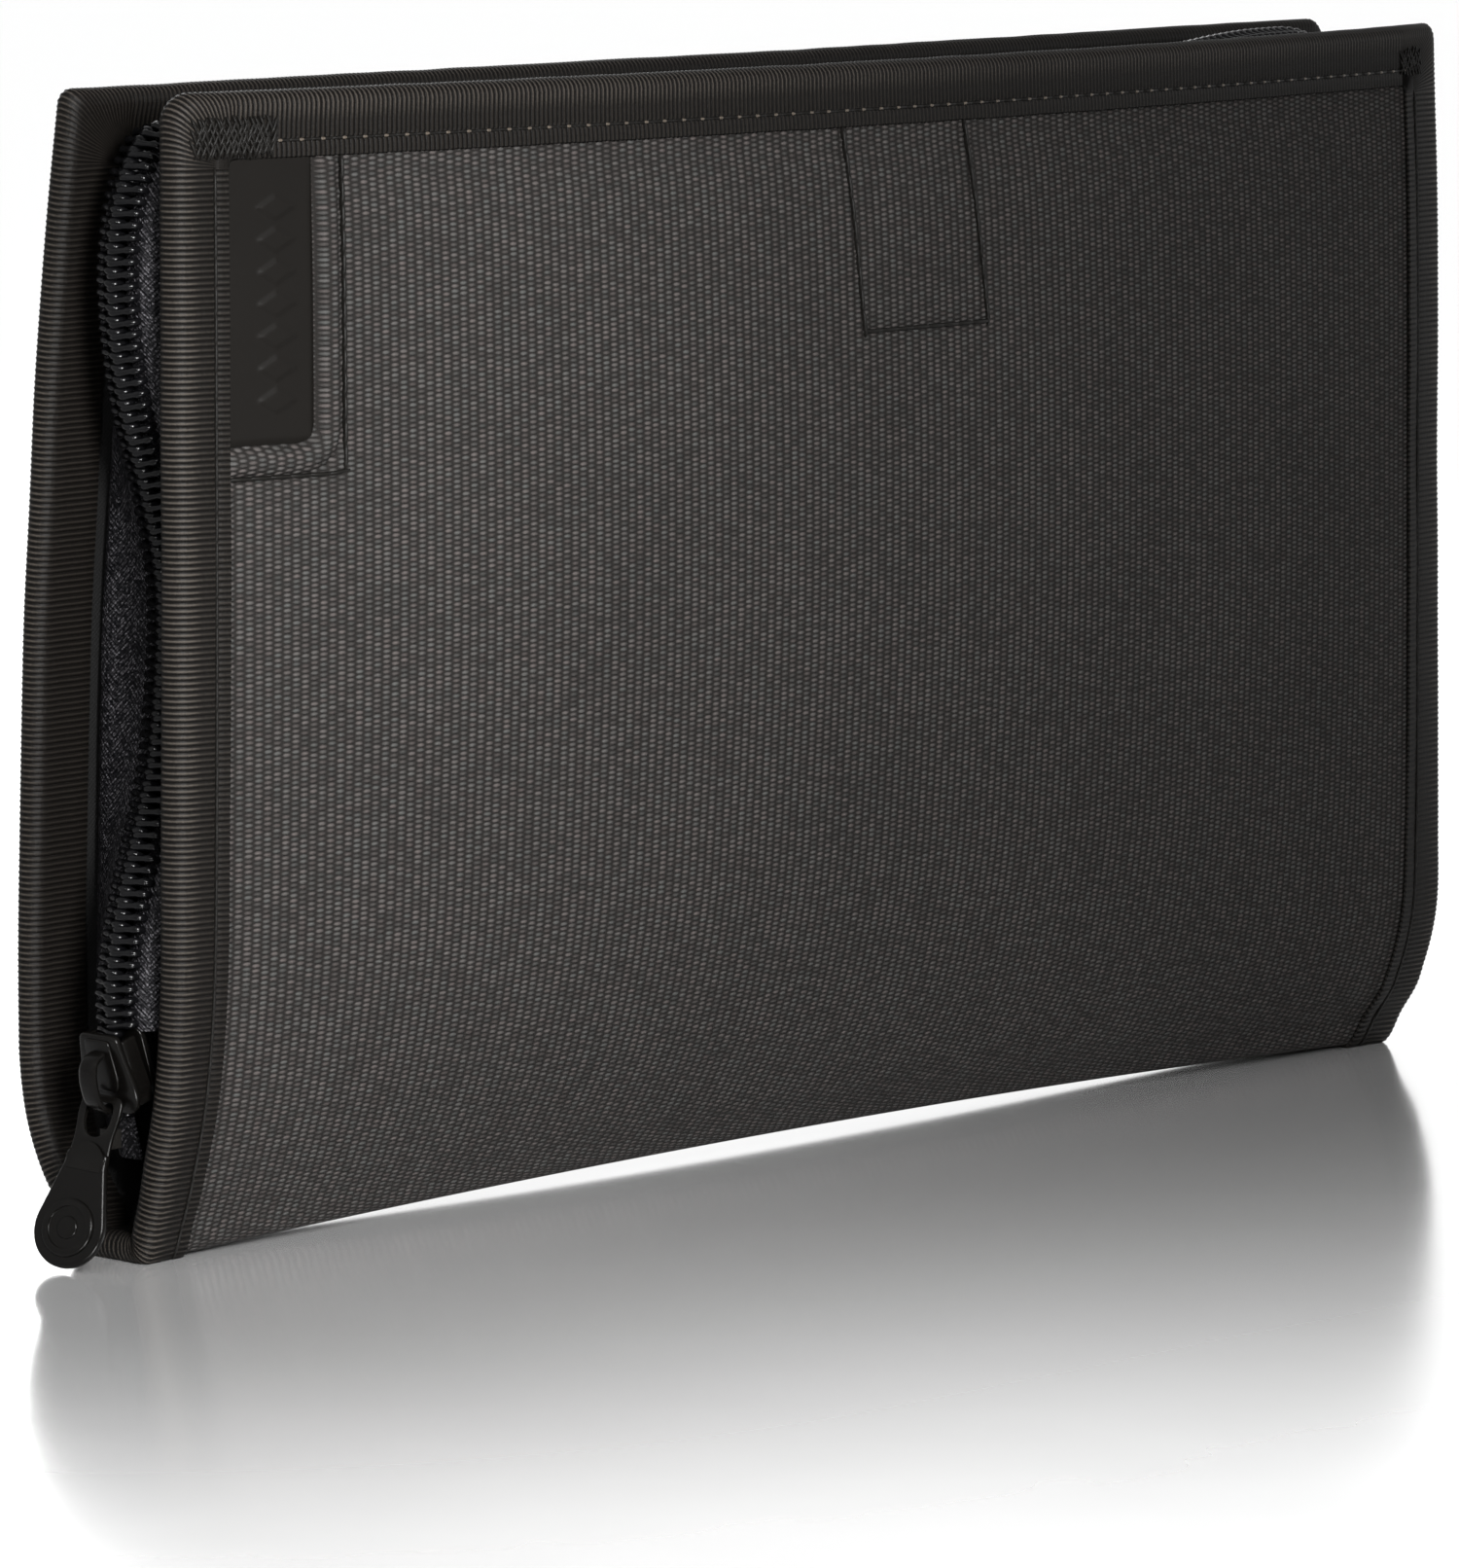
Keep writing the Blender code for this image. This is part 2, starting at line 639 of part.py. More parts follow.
def pull_frame(frame, scale, lean):
    """Frame of a pull that leans away from its slider: its t runs from the bar to the tip."""
    origin, t, w, n = frame
    bar = origin + scale * (BAR_T * t + BAR_N * n)
    turn = Matrix.Rotation(math.radians(lean), 3, w)
    return bar, turn @ -t, w, turn @ n


def make_pull(name, frame, scale, finish, parent):
    place = frame_map(frame, scale)
    half = PULL_THICKNESS / 2
    body = prism_mesh(both_sides(pull_outline()), -half, half, place)
    low, high, wide = PULL_OPENING
    hole = prism_mesh(box_outline(low, high, -wide, wide), -2, 2, place)
    combine(name, body, [hole], "DIFFERENCE", finish["black_metal"], parent)


def make_stop(finish, parent):
    """Metal stop on the end of the rear chain, just below the slider."""
    height = CHAIN_LOW - STOP_BELOW
    centre = Vector((run_x(height, -1), CHAIN_Y + STOP_OUT, height))
    (low_x, high_x), (low_y, high_y), (low_z, high_z) = STOP_SIZE

    def place(a, b, c):
        return centre + Vector((a, b, c))

    mesh = prism_mesh(box_outline(low_x, high_x, low_y, high_y), low_z, high_z, place)
    add_part("zip_end_stop", *mesh, finish["black_metal"], parent, False)


# ---- patch and key holder ----
def make_patch(finish, parent):
    def surface(x, row, depth):
        return cover_point("front", x, row, depth)

    rows = [reach_at("front", z) for z in (PATCH_Z[0], 112, 123, 130, PATCH_Z[1])]
    columns = span(PATCH_X[0], PATCH_X[1], 3)
    add_part("front_patch", *sheet_mesh(surface, columns, rows, PATCH_DEPTHS), finish["rubber"], parent)

    low_x, high_x = PATCH_X
    low_z, high_z = PATCH_Z
    near_x = high_x + PATCH_GAP
    near_z = low_z - PATCH_GAP
    inner = [(near_x, high_z), (near_x, near_z), (low_x, near_z)]
    outer = [(high_x + PATCH_BAND, high_z), (high_x + PATCH_BAND, low_z - PATCH_BAND),
             (low_x, low_z - PATCH_BAND)]
    sections = []
    for (xi, zi), (xo, zo) in zip(inner, outer):
        a, b = reach_at("front", zi), reach_at("front", zo)
        sections.append([surface(xi, a, 0.0), surface(xo, b, 0.0),
                         surface(xo, b, PATCH_FRAME_DEPTH), surface(xi, a, PATCH_FRAME_DEPTH)])
    add_part("patch_frame", *sweep_mesh(sections), finish["canvas"], parent, False)


def key_axis():
    axis_z = KEY_TAB_Z[0] + KEY_TAB_FOLD + KEY_TAB_TAPE + 0.1
    return cover_point("front", KEY_X, reach_at("front", axis_z), KEY_DEPTH)


def make_key_tab(finish, parent):
    """Folded webbing tab sewn behind the stitched rectangle; the ring's bar runs in its fold."""
    axis = key_axis()
    outside = KEY_TAB_FOLD + KEY_TAB_TAPE
    top = cover_point("front", KEY_X, reach_at("front", KEY_TAB_Z[1]), KEY_DEPTH)

    def leaf(radius):
        fold = []
        for angle in span(0, -180, 6):
            turn = math.radians(angle)
            fold.append((axis.y + radius * math.cos(turn), axis.z + radius * math.sin(turn)))
        return [(top.y + radius, top.z)] + fold + [(top.y - radius, top.z)]

    ring = leaf(outside) + leaf(KEY_TAB_FOLD)[::-1]
    sections = [[Vector((x, y, z)) for y, z in ring]
                for x in (KEY_X - KEY_TAB_HALF, KEY_X + KEY_TAB_HALF)]
    add_part("key_tab", *sweep_mesh(sections), finish["grosgrain"], parent, False)


def make_key_ring(finish, parent):
    """D-shaped wire ring, hanging from the tab."""
    axis = key_axis()
    half = KEY_RING_HALF
    round_z = half - KEY_RING_TALL
    path = [(-half, 0.0), (0.0, 0.0), (half, 0.0)]
    for angle in span(0, -180, 8):
        turn = math.radians(angle)
        path.append((half * math.cos(turn), round_z + half * math.sin(turn)))
    sections = []
    count = len(path)
    for i, (x, z) in enumerate(path):
        before, after = path[i - 1], path[(i + 1) % count]
        a = Vector((x - before[0], z - before[1])).normalized()
        b = Vector((after[0] - x, after[1] - z)).normalized()
        side = Vector((a.y + b.y, -(a.x + b.x))).normalized() / max((1 + a.dot(b)) / 2, 0.5) ** 0.5
        ring = []
        for corner in span(0, 360, 6)[:-1]:
            turn = math.radians(corner)
            r = KEY_WIRE / 2
            across = r * math.cos(turn)
            ring.append(Vector((axis.x + x + across * side.x, axis.y + r * math.sin(turn),
                                axis.z + z + across * side.y)))
        sections.append(ring)
    add_part("key_ring", *sweep_mesh(sections, closed=True), finish["nickel"], parent)


# ---- inside pockets ----
def pocket_sheet(name, side, x_range, z_range, depths, material, parent):
    def surface(x, row, depth):
        return cover_point(side, x, row, depth)

    low, high = z_range
    heights = [low] + [z for z in POCKET_ROWS if low + 1.5 < z < high - 1.5] + [high]
    rows = [reach_at(side, z) for z in heights]
    pieces = max(2, round((x_range[1] - x_range[0]) / POCKET_COLUMN))
    columns = span(*x_range, pieces)
    add_part(name, *sheet_mesh(surface, columns, rows, depths), material, parent)


def make_front_pockets(finish, parent):
    pocket_sheet("document_pocket", "front", (-POCKET_HALF, POCKET_HALF), DOCUMENT_Z,
                 DOCUMENT_DEPTHS, finish["mesh_pocket"], parent)
    for number in range(CARD_COUNT):
        heights = (CARD_Z[0], CARD_Z[1] - CARD_DROP * number)
        depths = [depth + CARD_STEP * number for depth in CARD_DEPTHS]
        pocket_sheet(f"card_slot_{number + 1}", "front", (-POCKET_HALF, CARD_RIGHT), heights,
                     depths, finish["lining"], parent)
    make_key_tab(finish, parent)


def make_rear_pockets(finish, parent):
    wide = (-POCKET_HALF, POCKET_HALF)
    low, high = COIN_POCKET_Z
    pocket_sheet("coin_zip_tape", "rear", (-COIN_TAPE_HALF, COIN_TAPE_HALF),
                 (COIN_ZIP_Z - COIN_TAPE_WIDE, COIN_ZIP_Z + COIN_TAPE_WIDE), COIN_TAPE_DEPTHS,
                 finish["zip_tape"], parent)
    pocket_sheet("coin_pocket_lower", "rear", wide, (low, COIN_ZIP_Z - COIN_OPENING),
                 COIN_LOWER_DEPTHS, finish["lining"], parent)
    pocket_sheet("coin_pocket_upper", "rear", wide, (COIN_ZIP_Z + COIN_OPENING, high),
                 COIN_UPPER_DEPTHS, finish["lining"], parent)
    pocket_sheet("passport_pocket", "rear", wide, PASSPORT_Z, PASSPORT_DEPTHS,
                 finish["mesh_pocket"], parent)
    pocket_sheet("coin_zip_coil", "rear", (-COIN_COIL_HALF, COIN_COIL_HALF),
                 (COIN_ZIP_Z - COIN_COIL_WIDE, COIN_ZIP_Z + COIN_COIL_WIDE), COIN_COIL_DEPTHS,
                 finish["coil"], parent)


def coin_frame():
    """Frame of the coin pocket's slider: t along +X, n towards the front, over the coil."""
    level = COIN_PLATE_DEPTH - COIN_SCALE * UPPER_PLATE[0]
    reach = reach_at("rear", COIN_ZIP_Z)
    low = cover_point("rear", COIN_SLIDER_X, reach, level)
    high = cover_point("rear", COIN_SLIDER_X, reach, level + 1)
    n = (high - low).normalized()
    t = Vector((1, 0, 0))
    return low, t, n.cross(t), n


# ---- assembly ----
def centre_root(root):
    """Move the root so that the origin lies under the middle of the whole object."""
    bpy.context.view_layer.update()
    corners = [item.matrix_world @ Vector(corner)
               for item in bpy.data.objects if item.type == "MESH" for corner in item.bound_box]
    low = [min(c[k] for c in corners) for k in range(3)]
    high = [max(c[k] for c in corners) for k in range(3)]
    root.location = (-(low[0] + high[0]) / 2, -(low[1] + high[1]) / 2, 0.0)
    bpy.context.view_layer.update()


def build():
    clear_scene()
    finish = make_materials()
    root = add_axis("organizer_root", (0, 0, 0), None)
    make_spine(finish, root)

    front = add_axis("front_fold_axis", (0, *FRONT_AXIS), root)
    make_cover("front", finish, front)
    make_zip_tape("front", finish, front)
    make_zip_coil("front", finish, front)
    make_patch(finish, front)
    make_front_pockets(finish, front)
    ring = add_axis("key_ring_swing_axis", key_axis(), front)
    make_key_ring(finish, ring)

    rear = add_axis("rear_fold_axis", (0, *REAR_AXIS), root)
    make_cover("rear", finish, rear)
    make_zip_tape("rear", finish, rear)
    make_zip_coil("rear", finish, rear)
    make_stop(finish, rear)
    make_rear_pockets(finish, rear)

    frame = slider_frame()
    travel = add_axis("slider_travel_axis", frame[0], rear)
    make_slider("slider_body", frame, 1.0, True, finish, travel)
    make_crown("slider_crown", frame, 1.0, finish, travel)
    hanging = pull_frame(frame, 1.0, PULL_LEAN)
    swing = add_axis("pull_swing_axis", hanging[0], travel)
    make_pull("pull_tab", hanging, 1.0, finish, swing)

    coin = coin_frame()
    slide = add_axis("coin_slider_axis", coin[0], rear)
    make_slider("coin_slider", coin, COIN_SCALE, False, finish, slide)
    make_crown("coin_slider_crown", coin, COIN_SCALE, finish, slide)
    lying = pull_frame(coin, COIN_SCALE, 0.0)
    coin_swing = add_axis("coin_pull_swing_axis", lying[0], slide)
    make_pull("coin_pull", lying, COIN_SCALE, finish, coin_swing)
    centre_root(root)


build()
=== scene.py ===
"""Looks of the travel document organizer: canvas covers, ribbed binding, coil zipper and pockets.

Lengths are in millimetres in the covers' own frame: X from the middle of the spine, -Y to the front.
to_world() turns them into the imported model's metres.
"""
import json
import math

import bmesh
import bpy
import numpy as np
from mathutils import Matrix, Vector


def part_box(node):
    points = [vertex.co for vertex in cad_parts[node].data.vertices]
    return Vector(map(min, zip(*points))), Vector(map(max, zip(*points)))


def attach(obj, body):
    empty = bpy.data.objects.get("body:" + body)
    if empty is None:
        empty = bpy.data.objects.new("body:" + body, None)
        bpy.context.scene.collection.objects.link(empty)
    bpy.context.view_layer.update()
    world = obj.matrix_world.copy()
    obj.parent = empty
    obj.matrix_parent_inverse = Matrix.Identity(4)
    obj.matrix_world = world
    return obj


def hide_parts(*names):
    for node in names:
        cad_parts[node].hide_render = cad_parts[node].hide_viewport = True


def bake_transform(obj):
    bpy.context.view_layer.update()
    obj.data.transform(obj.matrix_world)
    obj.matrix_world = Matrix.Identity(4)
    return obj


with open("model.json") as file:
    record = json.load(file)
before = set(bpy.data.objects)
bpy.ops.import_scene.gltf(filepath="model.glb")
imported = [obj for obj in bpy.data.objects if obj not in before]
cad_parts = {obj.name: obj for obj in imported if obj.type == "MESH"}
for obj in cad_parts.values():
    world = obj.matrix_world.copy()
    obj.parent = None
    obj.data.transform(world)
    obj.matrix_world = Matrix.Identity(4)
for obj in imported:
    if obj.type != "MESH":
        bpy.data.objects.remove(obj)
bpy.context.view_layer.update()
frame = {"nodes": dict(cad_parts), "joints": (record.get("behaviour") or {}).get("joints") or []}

# ---- driving dimensions, as in the CAD (mm) ----
WIDTH = 250.0
HALF = WIDTH / 2
HEIGHT = 147.0
BINDING_WIDTH = 9.5
COVER_THICKNESS = 3.5
EDGE_PINCH = 0.9
SPLIT_HEIGHT = 5.4  # where the spine ends and a cover starts
SPINE_CHORD = 4.0  # length over which the surface's direction is measured on the spine

# Profile of each cover: (y, z, lean at the right end, belly at mid width, rise at mid width)
FRONT_PROFILE = (
    (3.5, 0.0, 0.0, 0.0, 1.0),
    (-2.2, 0.0, -1.0, 0.0, 0.9),
    (-4.4, 5.0, -2.4, 0.0, 0.1),
    (-5.9, 10.0, -4.2, 1.6, 0.0),
    (-8.0, 20.0, -4.8, 4.8, 0.0),
    (-9.1, 32.0, -3.9, 7.8, 0.0),
    (-9.4, 45.0, -3.3, 9.8, 0.0),
    (-9.4, 80.0, -2.4, 11.8, 0.0),
    (-9.4, 123.0, -1.5, 11.0, 0.0),
    (-9.4, 147.0, -0.3, 9.2, 0.0),
)
REAR_PROFILE = (
    (3.5, 0.0, 0.0, 0.0, 1.0),
    (8.0, 0.0, 0.0, 0.0, 0.9),
    (11.3, 4.4, 0.0, 0.0, 0.1),
    (14.4, 9.5, 0.0, 0.0, 0.0),
    (16.4, 17.0, 0.0, 0.0, 0.0),
    (17.1, 30.0, 0.0, 0.0, 0.0),
    (16.8, 50.0, 0.0, 0.0, 0.0),
    (16.0, 75.0, 0.0, 0.0, 0.0),
    (14.3, 100.0, 0.0, 0.0, 0.0),
    (12.3, 123.0, 0.0, 0.0, 0.0),
    (9.1, 147.0, 0.0, 0.0, 0.0),
)
CURVE_STEPS = 16
# At rest the rear cover has spread this much further than the model's, at its left and top right
REAR_SPREAD = (1.6, 4.5)
SPINE_RISE = 2.2

# Place of the covers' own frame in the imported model, from the spine and the front hinge
JOINTS = {joint["name"]: joint for joint in frame["joints"]}
spine_low, spine_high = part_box("spine_shell")
FRONT_AXIS_Y = -5.6
SHIFT = np.array([
    (spine_low.x + spine_high.x) / 2,
    JOINTS["front_fold"]["pos_m"][1] - FRONT_AXIS_Y / 1000,
    0.0,
])


def to_world(points):
    return np.asarray(points, float) * 0.001 + SHIFT


def smooth(value, low, high):
    t = np.clip((np.asarray(value, float) - low) / (high - low), 0, 1)
    return t * t * (3 - 2 * t)


def hermite(f, step, a, b, slope_a, slope_b):
    """Cubic from a to b over a step, with given slopes at its two ends."""
    return ((2 * f**3 - 3 * f**2 + 1) * a + (f**3 - 2 * f**2 + f) * step * slope_a
            + (3 * f**2 - 2 * f**3) * b + (f**3 - f**2) * step * slope_b)


# ---- the cover surface ----
def sample_profile(points):
    """Smooth curve through the profile: arc length, and rows of (y, z, lean, belly, rise)."""
    p = np.array(points)
    length = np.hypot(*np.diff(p[:, :2], axis=0).T)
    reach = np.concatenate([[0], np.cumsum(length)])
    below = np.maximum(np.arange(len(p)) - 1, 0)
    above = np.minimum(np.arange(len(p)) + 1, len(p) - 1)
    slope = (p[above] - p[below]) / (reach[above] - reach[below])[:, None]
    fine = np.linspace(0, 1, CURVE_STEPS, endpoint=False)
    at = np.concatenate([[i + f for f in fine] for i in range(len(length))] + [[len(length) - 1e-9]])
    i = at.astype(int)
    f = (at - i)[:, None]
    step = length[i][:, None]
    row = hermite(f, step, p[i], p[i + 1], slope[i], slope[i + 1])
    row[:, 1] = np.maximum(row[:, 1], 0)
    return reach[i] + f[:, 0] * step[:, 0], row


PROFILES = {-1: sample_profile(FRONT_PROFILE), 1: sample_profile(REAR_PROFILE)}
TOP_REACH = {side: PROFILES[side][0][-1] for side in PROFILES}


def reach_at(side, height):
    """Distance along the profile, from the spine's middle, at which it reaches a height."""
    reach, row = PROFILES[side]
    start = np.searchsorted(row[:, 1] > 0.01, True)
    return np.interp(height, row[start:, 1], reach[start:])


def height_at(side, along):
    """Height on the profile at a distance along it."""
    return np.interp(np.abs(along), PROFILES[side][0], PROFILES[side][1][:, 1])


SPLIT_REACH = {side: reach_at(side, SPLIT_HEIGHT) for side in PROFILES}


def outer(side, x, reach):
    """Outer surface of the cover on one side, as y and z."""
    at, row = PROFILES[side]
    y, z, lean, belly, rise = (np.interp(reach, at, row[:, k]) for k in range(5))
    beyond = np.maximum(reach - at[-1], 0)
    y = y + lean * (x + HALF) / WIDTH - belly * (1 - (x / HALF) ** 2)
    if side > 0:
        y = y + REAR_SPREAD[0] * np.clip(-x / HALF, 0, 1) * np.clip(z / 25, 0, 1)
        y = y + REAR_SPREAD[1] * smooth(x, 0, HALF) * smooth(z, 40, HEIGHT)
    if side < 0:
        inset = HALF - np.abs(x)
        y = y + EDGE_PINCH * np.clip(1 - inset / BINDING_WIDTH, 0, 1) * np.clip(z / 12, 0, 1)
    arch = np.clip(1 - (x / (HALF - BINDING_WIDTH)) ** 2, 0, None)
    return y, z + SPINE_RISE * rise * arch + beyond


def surface(x, along, depth):
    """Points below the outer surface; along is negative on the front and positive on the rear."""
    x, along, depth = np.broadcast_arrays(*(np.asarray(v, float) for v in (x, along, depth)))
    points = np.zeros(x.shape + (3,))
    for side in (-1, 1):
        here = (along < 0) if side < 0 else (along >= 0)
        if not here.any():
            continue
        xs, reach, d = x[here], np.abs(along[here]), depth[here]
        y, z = outer(side, xs, reach)
        chord = np.clip(SPLIT_REACH[side] - reach, 1.0, SPINE_CHORD)
        y0, z0 = outer(side, xs, np.maximum(reach - chord, 0))
        y1, z1 = outer(side, xs, reach + chord)
        size = np.hypot(y1 - y0, z1 - z0)
        normal_y = -side * (z1 - z0) / size
        normal_z = side * (y1 - y0) / size
        points[here] = np.stack([xs, y + d * normal_y, z + d * normal_z], -1)
    return points


# ---- small maths ----
def lines(*stops):
    """Grid lines through (place, spacing) stops: each stretch gets the spacing of its first stop."""
    found = []
    for (a, spacing), (b, _) in zip(stops, stops[1:]):
        count = max(1, round((b - a) / spacing))
        found.extend(np.linspace(a, b, count, endpoint=False))
    return np.array(found + [stops[-1][0]])


def wander(value, seed, size):
    """Slow, repeatable unevenness of a hand-sewn edge."""
    draw = np.random.default_rng(seed)
    total = 0
    for wave in draw.uniform(0.35, 2.6, 6):
        total = total + np.sin(np.asarray(value) * wave * size + draw.uniform(0, 6.28)) / (1 + wave)
    return total * 0.5


def unit(v):
    return v / np.maximum(np.linalg.norm(v, axis=-1, keepdims=True), 1e-12)


def run_of(path):
    """Distance along a path at each of its points."""
    return np.concatenate([[0], np.cumsum(np.linalg.norm(np.diff(path, axis=0), axis=1))])


def at_run(place, run, values):
    """Rows of values read at places along a run."""
    return np.stack([np.interp(place, run, values[:, k]) for k in range(values.shape[1])], -1)


def through(knots, count):
    """Smooth curve through given points, sampled evenly by length."""
    p = np.array(knots, float)
    padded = np.vstack([2 * p[0] - p[1], p, 2 * p[-1] - p[-2]])
    fine = []
    for i in range(1, len(padded) - 2):
        f = np.linspace(0, 1, 24, endpoint=False)[:, None]
        a, b, c, d = padded[i - 1:i + 3]
        fine.append(0.5 * (2 * b + (c - a) * f + (2 * a - 5 * b + 4 * c - d) * f**2
                           + (3 * b - a - 3 * c + d) * f**3))
    return even(np.vstack(fine + [p[-1:]]), count)


def even(points, count):
    """The same line with its points evenly spaced."""
    run = run_of(points)
    return at_run(np.linspace(0, run[-1], count), run, points)


# ---- meshes ----
def add_object(name, data):
    item = bpy.data.objects.new(name, data)
    bpy.context.scene.collection.objects.link(item)
    return item


def round_off(mesh, angle):
    """Smooth shading, with edges sharper than the angle left crisp."""
    mesh.shade_smooth()
    mesh.set_sharp_from_angle(angle=math.radians(angle))


def make_mesh(name, points, faces, material, uv=None):
    """One object from points in mm; uv holds one pair in mm for each face corner."""
    mesh = bpy.data.meshes.new(name)
    world = to_world(points)
    if isinstance(faces, np.ndarray):
        a, b, c, d = (world[faces[:, k]] for k in range(4))
        volume = np.einsum("ij,ij->", a, np.cross(b, c) + np.cross(c, d))
        if volume < 0:
            faces = faces[:, ::-1]
            uv = uv.reshape(-1, 4, 2)[:, ::-1]
        faces = faces.tolist()
    mesh.from_pydata(world.tolist(), [], faces)
    if uv is not None:
        layer = mesh.uv_layers.new(name="weave")
        layer.data.foreach_set("uv", np.ascontiguousarray(uv, np.float32).ravel())
    mesh.update()
    round_off(mesh, 50)
    mesh.materials.append(material)
    return add_object(name, mesh)


def fix_normals(mesh):
    bm = bmesh.new()
    bm.from_mesh(mesh)
    bmesh.ops.recalc_face_normals(bm, faces=bm.faces)
    bm.to_mesh(mesh)
    bm.free()


def loft(name, rings, along, around, material):
    """Closed solid through rings of points, shaped (stations, points, 3), with a weave UV in mm."""
    n, m, _ = rings.shape
    i = np.arange(n - 1)[:, None]
    j = np.arange(m)[None, :]
    beside = (j + 1) % m
    quads = np.stack([i * m + j, (i + 1) * m + j, (i + 1) * m + beside, i * m + beside], -1).reshape(-1, 4)
    u0, u1 = along[:-1, None], along[1:, None]
    v0, v1 = around[None, :m], around[None, 1:m + 1]
    shape = (n - 1, m)
    uv = np.stack([np.stack([np.broadcast_to(u, shape), np.broadcast_to(v, shape)], -1)
                   for u, v in ((u0, v0), (u1, v0), (u1, v1), (u0, v1))], 2).reshape(-1, 4, 2)
    quads, uv = add_caps(quads, uv, n, m, along, around)
    return make_mesh(name, rings.reshape(-1, 3), quads, material, uv)


def add_caps(quads, uv, n, m, along, around):
    """Strips of quads across the two open ends; ring point k faces ring point m - 1 - k."""
    extra, extra_uv = [], []
    for station, turn in ((0, 1), (n - 1, -1)):
        for k in range(m // 2 - 1):
            corner = [k, k + 1, m - 2 - k, m - 1 - k][::turn]
            extra.append([station * m + c for c in corner])
            extra_uv.append([(along[station], around[c]) for c in corner])
    return np.vstack([quads, extra]), np.concatenate([uv, np.array(extra_uv)])


def there_and_back(values):
    return np.concatenate([values, values[::-1], values[:1]])


def sheet(name, xs, alongs, depth, thickness, material, relief=None):
    """Thin closed sheet on the cover surface over a grid of x and distance along the profile."""
    grid_x, grid_a = np.meshgrid(xs, alongs, indexing="ij")
    lift = 0 if relief is None else relief(grid_x, grid_a)
    top = surface(grid_x, grid_a, depth + lift)
    under = surface(grid_x, grid_a, depth + lift + thickness)[:, ::-1]
    rings = np.concatenate([top, under], 1)
    return loft(name, rings, xs, there_and_back(alongs), material)


def grid_faces(n, m):
    """Quads between neighbouring rings of m points, and a face on each end."""
    faces = [[i * m + j, (i + 1) * m + j, (i + 1) * m + (j + 1) % m, i * m + (j + 1) % m]
             for i in range(n - 1) for j in range(m)]
    return faces + [list(range(m)), list(range((n - 1) * m, n * m))[::-1]]


def tube(path, radii, side, sides):
    """Vertices and faces of a tube along a bent path that keeps clear of the side direction."""
    path = np.array(path, float)
    tangent = unit(np.gradient(path, axis=0))
    turn = np.linspace(0, math.tau, sides, endpoint=False)
    points = []
    for place, forward, radius in zip(path, tangent, radii):
        up = unit(np.cross(forward, side))
        beside = np.cross(up, forward)
        points += [place + radius * (math.cos(t) * beside + math.sin(t) * up) for t in turn]
    return np.array(points), grid_faces(len(path), sides)


def instances(name, origins, axes, template, material, scale=1.0):
    """Copies of a template, joined: axes holds one 3x3 per copy, whose rows are its directions."""
    points, faces = template
    shaped = points[None] * np.broadcast_to(scale, origins.shape)[:, None, :]
    placed = origins[:, None] + np.einsum("cpk,ckd->cpd", shaped, axes)
    step = len(points)
    every = [[c * step + k for k in face] for c in range(len(origins)) for face in faces]
    item = make_mesh(name, placed.reshape(-1, 3), every, material)
    fix_normals(item.data)
    round_off(item.data, 60)
    return item


STITCH = tube([(-0.5, 0, -0.5), (-0.42, 0, 0.05), (-0.2, 0, 0.3), (0.2, 0, 0.3), (0.42, 0, 0.05),
               (0.5, 0, -0.5)], [0.5] * 6, (0, 1, 0), 6)


def stitch_row(name, path, outward, length, gap, width, material):
    """Row of thread stitches along a path of points, each one dipping into the cloth at its ends."""
    run = run_of(path)
    count = int(run[-1] / (length + gap))
    draw = np.random.default_rng(len(name))
    start = (np.arange(count) + 0.5) * run[-1] / count - length / 2 + draw.normal(0, 0.05, count)
    a, b = at_run(start, run, path), at_run(start + length, run, path)
    up = unit(at_run(start + length / 2, run, outward))
    forward = unit(b - a)
    side = unit(np.cross(up, forward))
    axes = np.stack([forward, side, np.cross(forward, side)], 1)
    scale = np.stack([np.linalg.norm(b - a, axis=1), np.full(count, width), np.full(count, width)], -1)
    return instances(name, (a + b) / 2, axes, STITCH, material, scale)


def surface_path(points):
    """Path and outward directions on the outer surface through (x, along, depth) points."""
    p = np.array(points, float)
    p = even(p, max(8, int(run_of(p[:, :2])[-1] / 0.8)))
    path = surface(p[:, 0], p[:, 1], p[:, 2])
    inside = surface(p[:, 0], p[:, 1], p[:, 2] + 1)
    return path, path - inside


# ---- materials ----
class Value:
    """A number made by nodes: arithmetic on it adds maths nodes to its material."""

    def __init__(self, socket):
        self.socket = socket

    def apply(self, operation, first, second=0.0):
        tree = self.socket.id_data
        made = tree.nodes.new("ShaderNodeMath")
        made.operation = operation
        feed(made.inputs[0], first)
        feed(made.inputs[1], second)
        return Value(made.outputs[0])

    def __add__(self, other):
        return self.apply("ADD", self, other)

    def __sub__(self, other):
        return self.apply("SUBTRACT", self, other)

    def __rsub__(self, other):
        return self.apply("SUBTRACT", other, self)

    def __mul__(self, other):
        return self.apply("MULTIPLY", self, other)

    def __truediv__(self, other):
        return self.apply("DIVIDE", self, other)

    def __pow__(self, other):
        return self.apply("POWER", self, other)

    def __abs__(self):
        return self.apply("ABSOLUTE", self)

    def __mod__(self, other):
        return self.apply("MODULO", self, other)

    def floor(self):
        return self.apply("FLOOR", self)

    def fraction(self):
        return self.apply("FRACT", self)

    def sine(self):
        return self.apply("SINE", self)

    def at_least(self, other):
        return self.apply("MAXIMUM", self, other)

    def clamped(self):
        """The value kept from 0 to 1 by the node that makes it."""
        self.socket.node.use_clamp = True
        return self


def feed(socket, value):
    """Gives a node's input a link, a number or a colour."""
    if isinstance(value, Value):
        socket.id_data.links.new(value.socket, socket)
    else:
        socket.default_value = (*value, 1.0) if isinstance(value, tuple) else value


